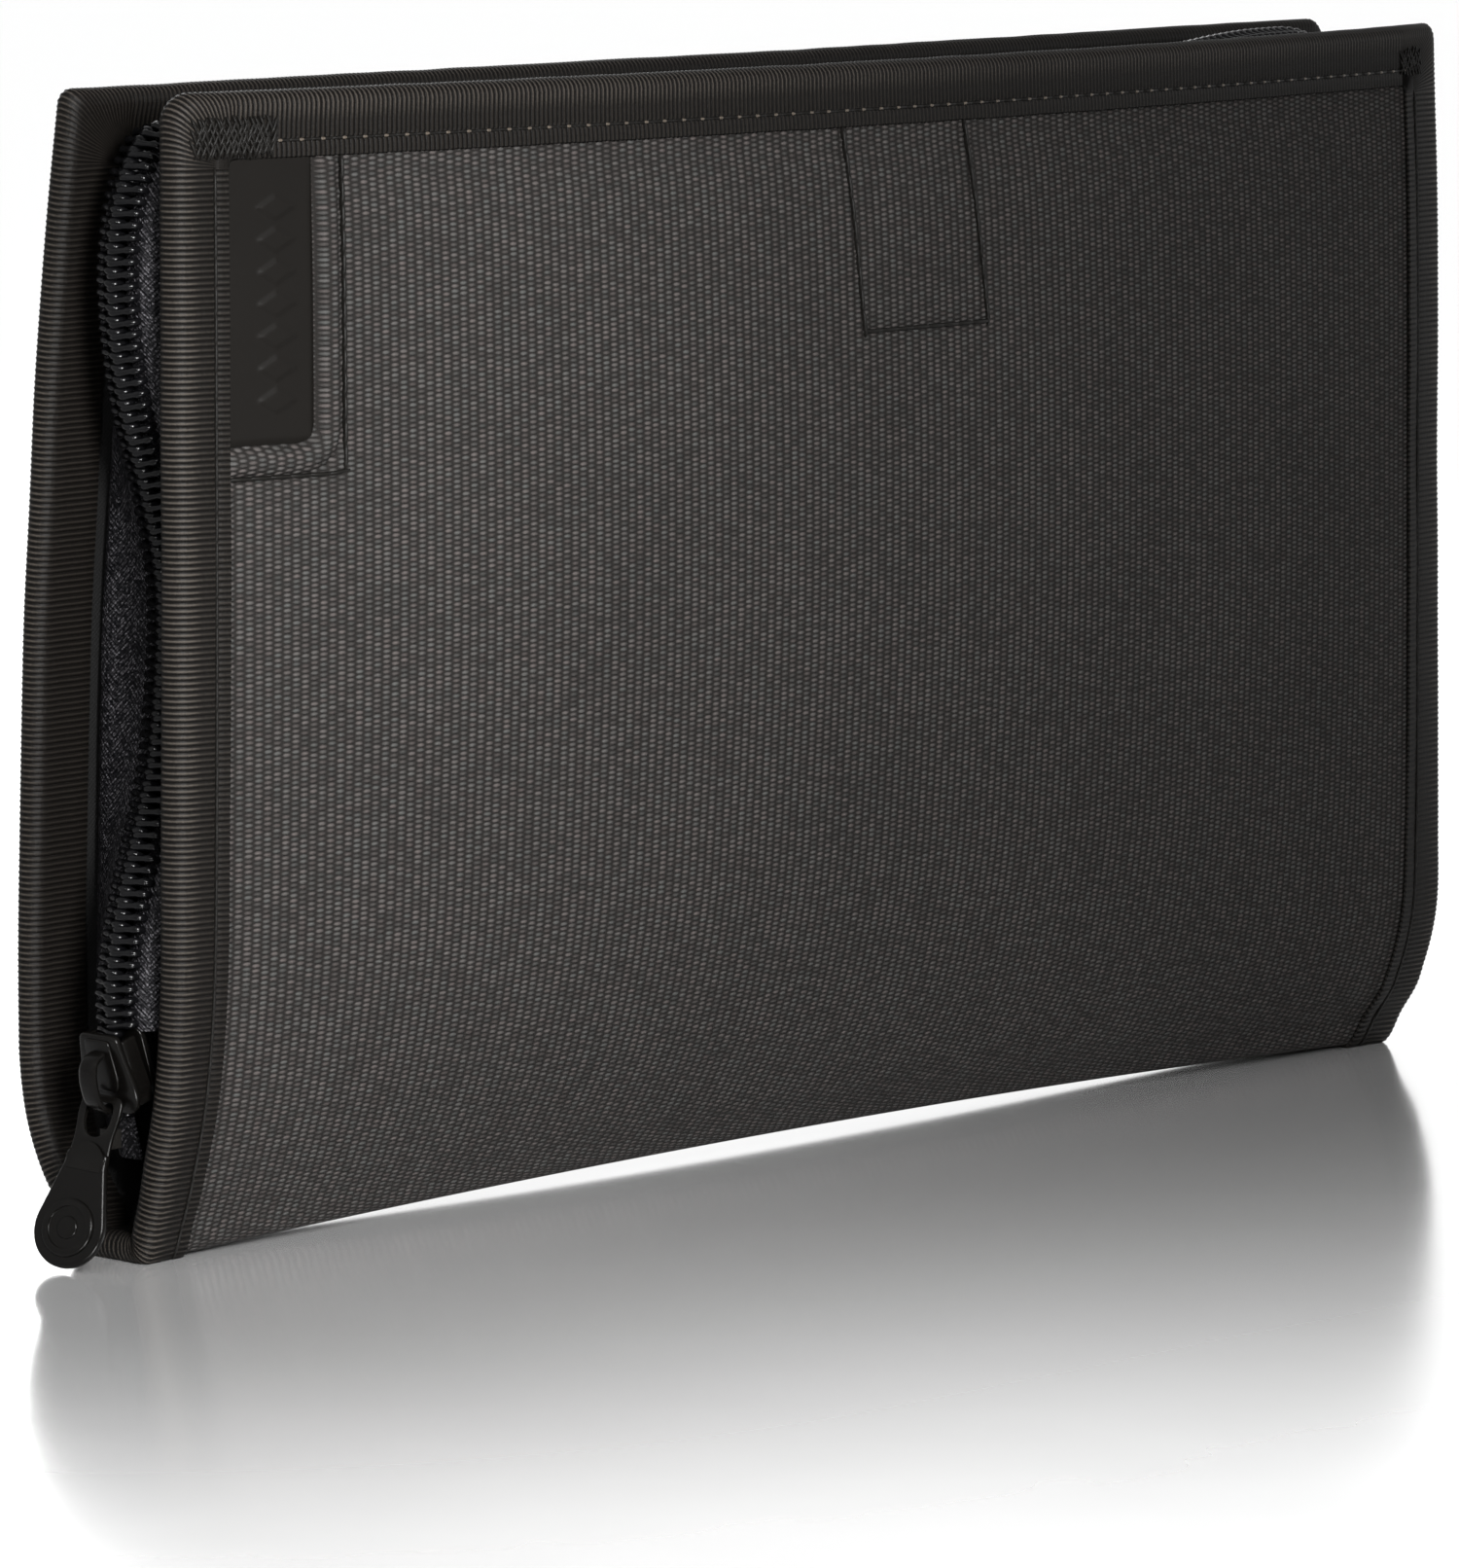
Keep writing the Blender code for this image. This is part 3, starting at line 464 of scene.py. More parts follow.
class Finish:
    """Builds a node material: numbers, colours and values mix freely in its calls."""

    def __init__(self, name):
        self.material = bpy.data.materials.new(name)
        self.material.use_nodes = True
        self.tree = self.material.node_tree
        self.shader = self.tree.nodes["Principled BSDF"]
        self.coords = self.tree.nodes.new("ShaderNodeTexCoord")

    def node(self, kind, inputs, output, **settings):
        made = self.tree.nodes.new(kind)
        for key, value in settings.items():
            setattr(made, key, value)
        for key, value in inputs.items():
            feed(made.inputs[key], value)
        return Value(made.outputs[output])

    def where(self, system, *axes):
        """Coordinates along some axes, such as the weave's own or the object's."""
        parts = self.tree.nodes.new("ShaderNodeSeparateXYZ")
        self.tree.links.new(self.coords.outputs[system], parts.inputs[0])
        return [Value(parts.outputs[axis]) for axis in axes]

    def pair(self, a, b):
        return self.node("ShaderNodeCombineXYZ", {0: a, 1: b}, 0)

    def random(self, a, b):
        return self.node("ShaderNodeTexWhiteNoise", {"Vector": self.pair(a, b)}, "Value",
                         noise_dimensions="2D")

    def noise(self, scale, detail=3.0, vector=None):
        vector = Value(self.coords.outputs["Object"]) if vector is None else vector
        return self.node("ShaderNodeTexNoise", {"Vector": vector, "Scale": scale, "Detail": detail}, "Fac")

    def ramp(self, value, low, high, start=0.0, end=1.0, kind="LINEAR"):
        return self.node("ShaderNodeMapRange", {0: value, 1: low, 2: high, 3: start, 4: end}, 0,
                         interpolation_type=kind)

    def mix(self, amount, a, b):
        return self.node("ShaderNodeMix", {0: amount, 6: a, 7: b}, 2, data_type="RGBA")

    def finish(self, colour, roughness, height=None, depth=0.0001, strength=1.0, gloss=0.5, metallic=0.0):
        """The material, bumped by a height; the depth is the bump's real size in metres."""
        inputs = self.shader.inputs
        feed(inputs["Base Color"], colour)
        feed(inputs["Roughness"], roughness)
        feed(inputs["Specular IOR Level"], gloss)
        feed(inputs["Metallic"], metallic)
        if height is not None:
            bump = {"Height": height, "Distance": depth, "Strength": strength}
            feed(inputs["Normal"], self.node("ShaderNodeBump", bump, 0))
        return self.material


WEAVE = ("UV", 0, 1)


def canvas_finish():
    """Coarse basket weave: columns of raised beads, each column half a bead off the next; the gaps between
    beads are painted dark as shade.
    """
    f = Finish("canvas")
    u, v = f.where(*WEAVE)
    column = u / 1.38
    bead = v / 0.65 + abs(column.floor()) % 2.0 * 0.5
    across = column.fraction() - 0.5
    down = bead.fraction() - 0.5
    shape = (1.0 - (abs(across / 0.47) ** 2.0 + abs(down / 0.49) ** 2.0)).clamped()
    pick = f.random(column.floor(), bead.floor())
    tint = f.random(bead.floor(), column.floor() + 57.0)
    strands = f.noise(2600.0, 2.0)
    cloud = f.noise(26.0, 4.0)
    # Painted shade: the bead shape leaves the gaps between beads dark; pick and strands vary each bead at
    # random.
    weave_and_painted_light = (shape ** 0.8 * (pick * 0.75 + 0.50) * (strands * 0.62 + 0.66)).clamped()
    warm = f.mix(tint, (0.0270, 0.0235, 0.0225), (0.0225, 0.0228, 0.0220))
    # Near black in the gaps between beads as painted shade, the warm bead colour on their crowns.
    body = f.mix(weave_and_painted_light, (0.0045, 0.0040, 0.0037), warm)
    shade = f.node("ShaderNodeHueSaturation", {"Color": body, "Value": cloud * 0.40 + 0.80}, 0)
    return f.finish(shade, 0.85, shape + strands * 0.25, 0.00030, gloss=0.05)


def grosgrain_finish():
    """Ribbed tape: pale lines on the ridges as painted highlights over grooves painted black as shade, with
    fine cross threads; brighter on the nose as a painted highlight, darker on the flat strip and the inner
    leaf as painted shade.

    The weave's v runs across the tape from its inner edge on the outside of the cover.
    """
    f = Finish("grosgrain")
    u, v = f.where(*WEAVE)
    rib = u / 0.75
    ridge = abs((rib * math.pi).sine())
    threads = f.noise(1.0, 3.0, f.pair(rib.floor() * 7.3, v * 2.2))
    cloud = f.noise(30.0)
    # Painted highlight: thin pale lines on the rib crowns, with near black grooves between them as painted
    # shade; threads and cloud vary it at random.
    weave_and_painted_light = (ridge ** 7.0 * (threads + 0.35) * (cloud * 0.9 + 0.55)).clamped()
    # Painted highlight on the nose, painted shade on the flat outer strip.
    nose_highlight = f.ramp(v, 5.2, 7.2, 0.34, 1.25)
    # Painted shadow on the inner leaf, where the cover shades it.
    inside = f.ramp(v, 11.0, 13.0, 1.0, 0.22)
    colour = f.mix(weave_and_painted_light * (nose_highlight * inside), (0.0009, 0.0007, 0.00055), (0.0165, 0.0142, 0.0120))
    return f.finish(colour, 0.55, ridge + threads * 0.35, 0.00016, gloss=0.05)


def tape_finish():
    """Herringbone zipper tape: diagonal ribs that turn at each band, with stray bright fibres."""
    f = Finish("zip_tape")
    u, v = f.where(*WEAVE)
    turn = abs((v / 2.6).floor()) % 2.0 * 2.0 - 1.0
    twill = abs(((u + v * turn) * (math.pi / 0.78)).sine())
    grain = abs(((v - u) * (math.pi / 0.5)).sine())
    speck = f.random((u / 0.24).floor(), (v / 0.24).floor())
    bright = (speck ** 3.0 * (twill * grain)).clamped()
    colour = f.mix(bright, (0.0006, 0.0006, 0.0009), (0.055, 0.053, 0.057))
    return f.finish(colour, 0.6, twill + grain * 0.5, 0.0001, 0.9, gloss=0.05)


def plain_weave(name, dark, pale, pitch, roughness, shade_border=None):
    """Fine plain weave for the lining and the pockets; past the given border near both ends it turns near
    black as painted shade, where the binding shades it.
    """
    f = Finish(name)
    u, v = f.where(*WEAVE)
    cross = (u * (math.pi / pitch)).sine() * (v * (math.pi / pitch)).sine() * 0.5 + 0.5
    slub = f.noise(1.0, 3.0, f.pair(u * 0.25, v * 2.5))
    cloud = f.noise(22.0)
    colour = f.mix((cross * (slub + cloud * 0.5)).clamped(), dark, pale)
    if shade_border:
        # Painted shade: near black past the border, where the binding and the tape shade the lining's ends.
        colour = f.mix(f.ramp(abs(u), shade_border, shade_border + 3.0), colour, (0.0008, 0.0008, 0.0008))
    return f.finish(colour, roughness, cross, 0.00006, 0.7, gloss=0.15)


def speckled(name, scale, detail, dark, pale, rough, rough_spread, depth, strength, **more):
    """A plain material with one grain that varies its colour, its roughness and its relief."""
    f = Finish(name)
    grain = f.noise(scale, detail)
    roughness = grain * rough_spread + rough if rough_spread else rough
    return f.finish(f.mix(grain, dark, pale), roughness, grain, depth, strength, **more)


def metal_finish():
    """Black lacquer over cast metal: slightly wavy, with rubbed edges."""
    f = Finish("black_metal")
    wave = f.noise(160.0, 2.0)
    fine = f.noise(2200.0, 2.0)
    edge = f.node("ShaderNodeNewGeometry", {}, "Pointiness")
    colour = f.mix(((edge - 0.53) * 5.0).clamped(), (0.0010, 0.0009, 0.0008), (0.0045, 0.0042, 0.0038))
    return f.finish(colour, fine * 0.12 + 0.18, wave, 0.00008, 0.5, gloss=0.05)


def rubber_finish():
    f = Finish("rubber")
    pebble = f.noise(5200.0, 2.0)
    colour = f.mix(f.noise(60.0), (0.0013, 0.0011, 0.0009), (0.0020, 0.0017, 0.0014))
    return f.finish(colour, pebble * 0.2 + 0.40, pebble, 0.00003, 0.5, gloss=0.05)


def floor_finish():
    """Glossy pale table: a mirror close to the object, plain white further away."""
    f = Finish("floor")
    x, y = f.where("Object", 0, 1)
    x = (abs(x) - 0.12).at_least(0.0)
    away = (x * x + y * y) ** 0.5
    far = f.ramp(away, 0.02, 0.34, kind="SMOOTHSTEP")
    rough = far * 0.35 + 0.10 + f.noise(60.0, 2.0) * 0.03
    return f.finish((1.0, 1.0, 1.0), rough, metallic=far * -0.86 + 0.86)


canvas = canvas_finish()
grosgrain = grosgrain_finish()
tape = tape_finish()
# 104.5 mm: past it the lining gets painted shade near both ends, under the binding's shadow.
lining = plain_weave("lining", (0.003, 0.0031, 0.0033), (0.024, 0.0245, 0.027), 0.32, 0.72, 104.5)
pocket_cloth = plain_weave("pocket", (0.0025, 0.0025, 0.0028), (0.020, 0.0205, 0.0225), 0.5, 0.78)
metal = metal_finish()
rubber = rubber_finish()
coil = speckled("coil", 900.0, 3.0, (0.0004, 0.0004, 0.0005), (0.0016, 0.0016, 0.0018),
                0.12, 0.14, 0.00002, 0.4, gloss=0.08)
thread = speckled("thread", 2400.0, 3.0, (0.0004, 0.0004, 0.0003), (0.0034, 0.0030, 0.0026),
                  0.5, 0.0, 0.00006, 0.8, gloss=0.06)
# Painted highlight: a pale copy of the thread, set on the crown of each top stitch where it stands proud of
# the cloth
stitch_highlight = speckled("stitch_highlight", 2400.0, 3.0, (0.006, 0.005, 0.004), (0.045, 0.036, 0.027),
                 0.45, 0.0, 0.00006, 0.8, gloss=0.2)
nickel = speckled("nickel", 700.0, 6.0, (0.50, 0.50, 0.50), (0.64, 0.63, 0.61),
                  0.1, 0.25, 0.00002, 0.3, metallic=1.0)
board = speckled("board", 420.0, 6.0, (0.24, 0.22, 0.19), (0.34, 0.32, 0.29), 0.85, 0.0, 0.00005, 0.6)

for node, finish in (("zip_end_stop", metal), ("key_ring", nickel)):
    slots = frame["nodes"][node].data.materials
    slots.clear()
    slots.append(finish)


# ---- who moves a piece and what it stands for ----
def fold(item, side, slot, *nodes):
    """Fabric between the spine and a cover, left fixed in place on no body."""
    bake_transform(item)
    return known(item, slot, *nodes)


def carry(item, body, slot, *nodes):
    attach(item, body)
    return known(item, slot, *nodes)


def known(item, slot, *nodes):
    if nodes:
        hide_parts(*nodes)
    return item


SIDE_NAMES = {-1: "front", 1: "rear"}
COVERS = {-1: "front_cover", 1: "rear_cover"}

# ---- canvas covers ----
CANVAS_DEPTH = 0.5
CANVAS_THICKNESS = 0.55
PATCH_RIGHT = -102.0
PATCH_LOW = 102.5
PATCH_CORNER = 2.6


def patch_distance(x, z):
    """Distance outside the patch's window; its right lower corner is round."""
    a = x - PATCH_RIGHT + PATCH_CORNER
    b = PATCH_LOW + PATCH_CORNER - z
    return np.hypot(np.maximum(a, 0), np.maximum(b, 0)) + np.minimum(np.maximum(a, b), 0) - PATCH_CORNER


def canvas_relief(side):
    def relief(x, along):
        z = height_at(side, along)
        slack = 0.16 * wander(x + 0.35 * z, 3 + side, 0.035) + 0.10 * wander(z - 0.2 * x, 8 + side, 0.06)
        inset = np.minimum(HALF - np.abs(x), HEIGHT - z)
        slack = slack * smooth(inset, 9, 30) * smooth(z, 4, 18)
        pull = 0.18 * np.exp(-((inset - BINDING_WIDTH - 1.5) / 2.2) ** 2) * smooth(z, 8, 20)
        if side > 0:
            return slack + pull
        d = patch_distance(x, z)
        well = 0.75 * (1 - smooth(d, -0.4, 0.3))
        rolled = -0.70 * np.sin(math.pi * np.clip((d - 0.05) / 3.3, 0, 1)) ** 0.7
        seam = 0.25 * np.exp(-((d - 3.6) / 0.5) ** 2)
        free = smooth(HALF - np.abs(x), 9.0, 10.4) * smooth(HEIGHT - z, 8.2, 9.6)
        return slack + pull + well + (rolled + seam) * free

    return relief


def make_canvas(side):
    edge = TOP_REACH[side]
    if side < 0:
        xs = lines((-HALF + 3, 1.0), (-116, 0.45), (-94, 2.2), (HALF - 3, 2.2))
        reach = lines((0, 1.1), (reach_at(side, 24), 2.4), (reach_at(side, 94), 0.5), (edge - 3.5, 0.5))
    else:
        xs = lines((-HALF + 3, 2.4), (HALF - 3, 2.4))
        reach = lines((0, 1.1), (reach_at(side, 24), 2.4), (edge - 3.5, 2.4))
    name = SIDE_NAMES[side]
    cloth = sheet(f"{name}_canvas", xs, side * reach, CANVAS_DEPTH, CANVAS_THICKNESS, canvas,
                  canvas_relief(side))
    nodes = [f"{name}_shell", "spine_shell"] + (["patch_frame"] if side < 0 else [])
    fold(cloth, side, "canvas", *nodes)
    (edge - 3.5) / 1000


# ---- grosgrain binding ----
RIB = 0.75
RIB_HEIGHT = 0.10
TAPE = 0.45
NOSE = 2.0
NOSE_BULGE = 0.25
SEAM_INSET = 7.0
STITCH_FOOT = 7.0  # where the end seams start, from the spine's middle
FLOOR_GAP = 0.02


def binding_section():
    """Ring of the folded tape: rows of (inset, depth, share of the ribs), outer leaf first."""
    middle = COVER_THICKNESS / 2
    thick = middle + NOSE_BULGE
    rows = [(9.5, 0.30, 1), (9.3, 0.02, 1), (8.3, -0.02, 1), (7.5, 0.0, 1), (SEAM_INSET, 0.2, 0.4),
            (6.4, 0.0, 1), (5.0, -0.06, 1), (3.6, -0.14, 1)]
    turn = np.radians(np.linspace(90, 270, 9))
    rows += [(NOSE + NOSE * math.cos(t), middle - thick * math.sin(t), 1) for t in turn]
    rows += [(4.4, COVER_THICKNESS + 0.02, 1), (7.0, COVER_THICKNESS - 0.02, 1), (9.5, 3.2, 1)]
    inner = [(9.4, 2.95, 0), (7.0, 3.03, 0), (4.4, 3.08, 0)]
    inner += [(NOSE + (NOSE - TAPE) * math.cos(t), middle - (thick - TAPE) * math.sin(t), 0)
              for t in turn[::-1]]
    inner += [(3.6, 0.34, 0), (5.0, 0.42, 0), (6.4, 0.46, 0), (SEAM_INSET, 0.66, 0),
              (7.5, 0.46, 0), (8.3, 0.45, 0), (9.2, 0.48, 0), (9.4, 0.52, 0)]
    return np.array(rows + inner, float)


SECTION = binding_section()


def section_normals(section):
    """Outward direction of each point of the section, in inset and depth."""
    run = np.roll(section[:, :2], -1, 0) - np.roll(section[:, :2], 1, 0)
    return unit(np.stack([run[:, 1], -run[:, 0]], -1))


# Outer edge of each end (left, right), and how much of the section's width is seen there
EDGE_X = {(-1, -1): 123.4, (-1, 1): 126.2, (1, -1): 125.2, (1, 1): 125.0}
TOP_WIDTH = 8.5
INNER_X = HALF - BINDING_WIDTH
CORNER_RADIUS = {(-1, -1): 3.6, (-1, 1): 1.6, (1, -1): 1.6, (1, 1): 3.0}
CORNER_ZONE = 1.0
EDGE_STEP = 0.2
FOOT_X = {-1: 123.4, 1: 125.2}


def rounded_corner(start, corner, stop, radius, count):
    """Points from start to stop by way of an arc of the given radius in the corner."""
    start, corner, stop = (np.array(p, float) for p in (start, corner, stop))
    a, b = unit(start - corner), unit(stop - corner)
    turn = np.linspace(0, math.pi / 2, 40)[:, None]
    centre = corner + (a + b) * radius
    arc = centre - radius * (np.cos(turn) * b + np.sin(turn) * a)
    return even(np.vstack([start, arc, stop]), count)


def binding_edges(side, top):
    """Outer and inner edge of the binding as matching points (x, z), from foot to foot."""
    inner_top = top - TOP_WIDTH
    outer_line, inner_line = [], []
    for end in (-1, 1):
        outer_x, inner_x = end * EDGE_X[side, end], end * INNER_X
        low = inner_top - CORNER_ZONE
        side_z = np.linspace(0, low, int(low / EDGE_STEP))
        foot_x = end * FOOT_X[end] + (outer_x - end * FOOT_X[end]) * smooth(side_z, 2, 30)
        outer_side = np.stack([foot_x, side_z], -1)
        inner_side = np.stack([np.full(len(side_z), inner_x), side_z], -1)
        beyond = inner_x - end * CORNER_ZONE
        size = int((top - low + abs(outer_x - beyond)) / EDGE_STEP)
        outer_turn = rounded_corner((outer_x, low), (outer_x, top), (beyond, top),
                                    CORNER_RADIUS[side, end], size)
        inner_turn = rounded_corner((inner_x, low), (inner_x, inner_top), (beyond, inner_top), 0.8, size)
        parts = [(outer_side, inner_side), (outer_turn[1:], inner_turn[1:])]
        if end > 0:
            parts = [(o[::-1], i[::-1]) for o, i in reversed(parts)]
        else:
            across = np.arange(beyond, INNER_X - CORNER_ZONE, EDGE_STEP)[1:]
            parts.append((np.stack([across, np.full(len(across), top)], -1),
                          np.stack([across, np.full(len(across), inner_top)], -1)))
        for o, i in parts:
            outer_line.append(o)
            inner_line.append(i)
    return np.vstack(outer_line), np.vstack(inner_line)


def ribbed_sweep(name, side, share):
    """Folded tape along part of the cover's edge; share holds the two limits of the outer run."""
    edge = TOP_REACH[side]
    outer_line, inner_line = binding_edges(side, edge)
    run = run_of(outer_line)
    first, last = (round(f * run[-1] / RIB) * RIB for f in share)
    stations = np.arange(round((last - first) / (RIB / 4)) + 1) * (RIB / 4) + first
    stations = np.minimum(stations, run[-1])
    o = at_run(stations, run, outer_line)[:, None]
    i = at_run(stations, run, inner_line)[:, None]
    ridge = np.sqrt(np.abs(np.sin(math.pi * stations / RIB)))
    normals = section_normals(SECTION)
    lift = RIB_HEIGHT * ridge[:, None] * SECTION[None, :, 2]
    inset = SECTION[None, :, 0] + lift * normals[None, :, 0]
    depth = SECTION[None, :, 1] + lift * normals[None, :, 1]
    sway = (0.10 * wander(stations, 20 + side, 0.11) * smooth(o[:, 0, 1], 6, 20))[:, None]
    bend = inset / BINDING_WIDTH
    x = o[..., 0] * (1 - bend) + i[..., 0] * bend
    z = o[..., 1] * (1 - bend) + i[..., 1] * bend
    z = z + 0.05 * wander(stations, 33 + side, 0.3)[:, None] * smooth(z, 6, 20)
    rings = surface(x, side * np.clip(z, 0, None), depth + sway)
    rings[..., 2] = np.maximum(rings[..., 2], FLOOR_GAP)
    around = run_of(SECTION[:, :2])
    around = np.append(around, around[-1] + 0.5)
    return loft(name, rings, stations, around, grosgrain)


def make_binding(side):
    """Binding in three runs that meet on the top edge, with its rows of stitches."""
    edge = TOP_REACH[side]
    name = SIDE_NAMES[side]
    outer_line, _ = binding_edges(side, edge)
    total = run_of(outer_line)[-1]
    left, right = (edge + 20) / total, 1 - (edge + 16) / total
    for word, share in (("left", (0.0, left)), ("right", (right, 1.0))):
        item = ribbed_sweep(f"{name}_{word}_tape", side, share)
        fold(item, side, "grosgrain", f"{name}_binding_{word}", f"spine_binding_{word}")
    item = ribbed_sweep(f"{name}_top_tape", side, (left, right))
    carry(item, COVERS[side], "grosgrain", f"{name}_binding_top")
    for end, word in ((-1, "left"), (1, "right")):
        x = end * (EDGE_X[side, end] + (INNER_X - EDGE_X[side, end]) * SEAM_INSET / BINDING_WIDTH)
        path, outward = surface_path([(x, side * STITCH_FOOT, 0.20), (x, side * (edge - 10), 0.20)])
        rows = stitch_row(f"{name}_{word}_stitches", path, outward, 3.0, 0.5, 0.42, thread)
        fold(rows, side, "grosgrain")
    across = np.linspace(-HALF + 12, HALF - 8, 40)
    seam_at = edge - TOP_WIDTH * SEAM_INSET / BINDING_WIDTH
    path, outward = surface_path([(x, side * seam_at, 0.16) for x in across])
    rows = stitch_row(f"{name}_top_stitches", path, outward, 2.4, 0.9, 0.42, thread)
    # Painted highlight: short pale dots on the crown of each top stitch.
    stitch_highlights = stitch_row(f"{name}_top_crests", path + unit(outward) * 0.06, outward, 0.7, 2.6, 0.4, stitch_highlight)
    carry(stitch_highlights, COVERS[side], "grosgrain")
    carry(rows, COVERS[side], "grosgrain")


# Name, width, rows and inset of each end's bar tack, and its stitches' length and width
TACKS = {-1: ("left", 12.0, 3, 4.5, 1.6, 0.42), 1: ("right", 5.5, 2, 5.5, 1.5, 0.28)}


def make_bar_tack(side, end):
    """Dense zigzag of thread that closes the corner of the binding, larger at the slider's end."""
    word, wide, rows, inset, length, width = TACKS[end]
    edge = TOP_REACH[side]
    pitch = 0.42
    spots = np.array([(end * (HALF - inset - k * pitch), edge - 4.4 - 1.3 * row, (k % 2) * 2 - 1)
                      for row in range(rows) for k in range(int(wide / pitch))])
    spots[:, :2] += np.random.default_rng(77).normal(0, 0.14, (len(spots), 2))
    centre = surface(spots[:, 0], side * spots[:, 1], -0.10)
    up = unit(centre - surface(spots[:, 0], side * spots[:, 1], 0.9))
    above = surface(spots[:, 0], side * (spots[:, 1] + 1), -0.10)
    forward = unit(unit(above - centre) + 0.5 * spots[:, 2:] * np.array([[1.0, 0, 0]]))
    across = unit(np.cross(up, forward))
    axes = np.stack([forward, across, np.cross(forward, across)], 1)
    item = instances(f"{SIDE_NAMES[side]}_bar_tack_{word}", centre, axes, STITCH, thread,
                     (length, width, width))
    carry(item, COVERS[side], "grosgrain")


# ---- patch and decorative seams ----
def make_patch():
    xs = lines((-HALF + 7.0, 0.3), (PATCH_RIGHT - 0.65, 0.3))
    low = PATCH_LOW + 0.5
    zs = lines((low, 0.3), (HEIGHT - 5.5, 0.3))
    grid_x, grid_z = np.meshgrid(xs, zs, indexing="ij")
    corner = PATCH_CORNER
    a = np.maximum(grid_x - (xs[-1] - corner), 0)
    b = np.maximum(low + corner - grid_z, 0)
    inside = (a > 0) & (b > 0)
    pull = np.maximum(a, b) / np.maximum(np.hypot(a, b), 1e-6)  # turns the square corner into an arc
    grid_x = np.where(inside, xs[-1] - corner + a * pull, grid_x)
    grid_z = np.where(inside, low + corner - b * pull, grid_z)
    rim = np.minimum(xs[-1] - grid_x, grid_z - low)
    along = -reach_at(-1, grid_z)
    depth = 0.42 + 0.35 * (1 - smooth(rim, 0, 0.8)) + 0.03 * wander(grid_z, 5, 0.2)
    centre = -108.5
    for k in range(7):
        z0 = 108.5 + 4.0 * k
        lozenge = np.abs((grid_x - centre) / 3.0) + np.abs((grid_z - z0) / 1.6)
        depth = depth - 0.24 * (1 - smooth(lozenge, 0.85, 1.05))
    top = surface(grid_x, along, depth)
    under = surface(grid_x, along, 1.0)[:, ::-1]
    item = loft("patch_panel", np.concatenate([top, under], 1), xs, there_and_back(zs), rubber)
    carry(item, "front_cover", "rubber", "front_patch")


def seam(name, corners, depth):
    """Straight stitch lines through (x, z) corners on the front cover."""
    path, outward = surface_path([(x, -float(reach_at(-1, z)), depth) for x, z in corners])
    rows = stitch_row(name, path, outward, 2.3, 0.6, 0.55, thread)
    carry(rows, "front_cover", "canvas")


# ---- zipper chain ----
CHAIN_Y = 1.5
CHAIN_CORNER = 123.0
CHAIN_CORNER_RIGHT = 128.0
CHAIN_TOP = 141.5
CHAIN_TOP_RIGHT = 145.4
TOP_RUN = (-115.5, 103.0)
TOP_BOW = 6.4
TAPE_LOW = 12.0
FRONT_CHAIN_START = 29.5
CHAIN_LOW = 17.0
# The slack left run at rest, as (height, x): tucked in at the foot and pulled in at mid height
LEFT_RUN = ((12.0, -119.6), (17.0, -121.0), (23.8, -122.2), (29.0, -123.3), (34.0, -123.7), (40.0, -122.8),
            (47.0, -121.1), (54.0, -118.8), (62.0, -116.5), (72.0, -115.2), (85.0, -114.9), (97.0, -117.5),
            (108.0, -121.1), (116.0, -122.6), (123.0, -123.2))
RIGHT_ARC_RADIUS = 333.0
RIGHT_ARC_HEIGHT = 79.5
RIGHT_DEEPEST = 116.6
TAPE_TURN_INSET = 10.6
TAPE_SEAM_INSET = 13.0
TAPE_CORNER = 6.0
TAPE_WIDTH = 14.0
TAPE_THICKNESS = 0.4
TAPE_SEAM_DEPTH = 2.75
TAPE_TURN_DEPTH = 4.0
TAPE_SAG = 0.5
# The tape's edge under the teeth: how far below the chain's line and beside its middle
TAPE_DROP = 1.1
TAPE_EDGE_GAP = 0.62
# Where the tape turns from the teeth towards the cover, and how much closer that is on the top run
KNEE_REACH = 4.3
KNEE_TOP_LESS = 0.9
SEAM_X = HALF - TAPE_TURN_INSET
SEAM_Z = HEIGHT - TAPE_TURN_INSET


def left_x(z):
    """The left run's curve, a cubic through its points."""
    heights, xs = np.array(LEFT_RUN).T
    slopes = np.gradient(xs, heights)
    k = np.clip(np.searchsorted(heights, z) - 1, 0, len(heights) - 2)
    step = heights[k + 1] - heights[k]
    return hermite((z - heights[k]) / step, step, xs[k], xs[k + 1], slopes[k], slopes[k + 1])


def right_x(z):
    drop = np.sqrt(RIGHT_ARC_RADIUS**2 - (z - RIGHT_ARC_HEIGHT) ** 2)
    return RIGHT_DEEPEST + RIGHT_ARC_RADIUS - drop


def top_z(x):
    return CHAIN_TOP + (CHAIN_TOP_RIGHT - CHAIN_TOP) * smooth(x, 45, 98)


def chain_corner(end):
    """Rows round one top corner of the chain, from its foot to the top run."""
    foot = CHAIN_CORNER if end < 0 else CHAIN_CORNER_RIGHT
    run_end = TOP_RUN[0 if end < 0 else 1]
    wide = abs((left_x(foot) if end < 0 else right_x(foot)) - run_end)
    tall = top_z(run_end) - foot
    base_foot = SEAM_Z - TAPE_CORNER
    rows = []
    for turn in np.radians(np.arange(0, 90, 4.0) if end < 0 else np.arange(86, -1, -4.0)):
        c, s = math.cos(turn), math.sin(turn)
        ease = (1 - s) * (base_foot - foot)
        point = (run_end + end * wide * c, CHAIN_Y, foot + tall * s)
        base = (end * (SEAM_X - TAPE_CORNER + TAPE_CORNER * c), base_foot + TAPE_CORNER * s - ease)
        rows.append((point, (-end * c, 0, -s), base, s))
    return rows


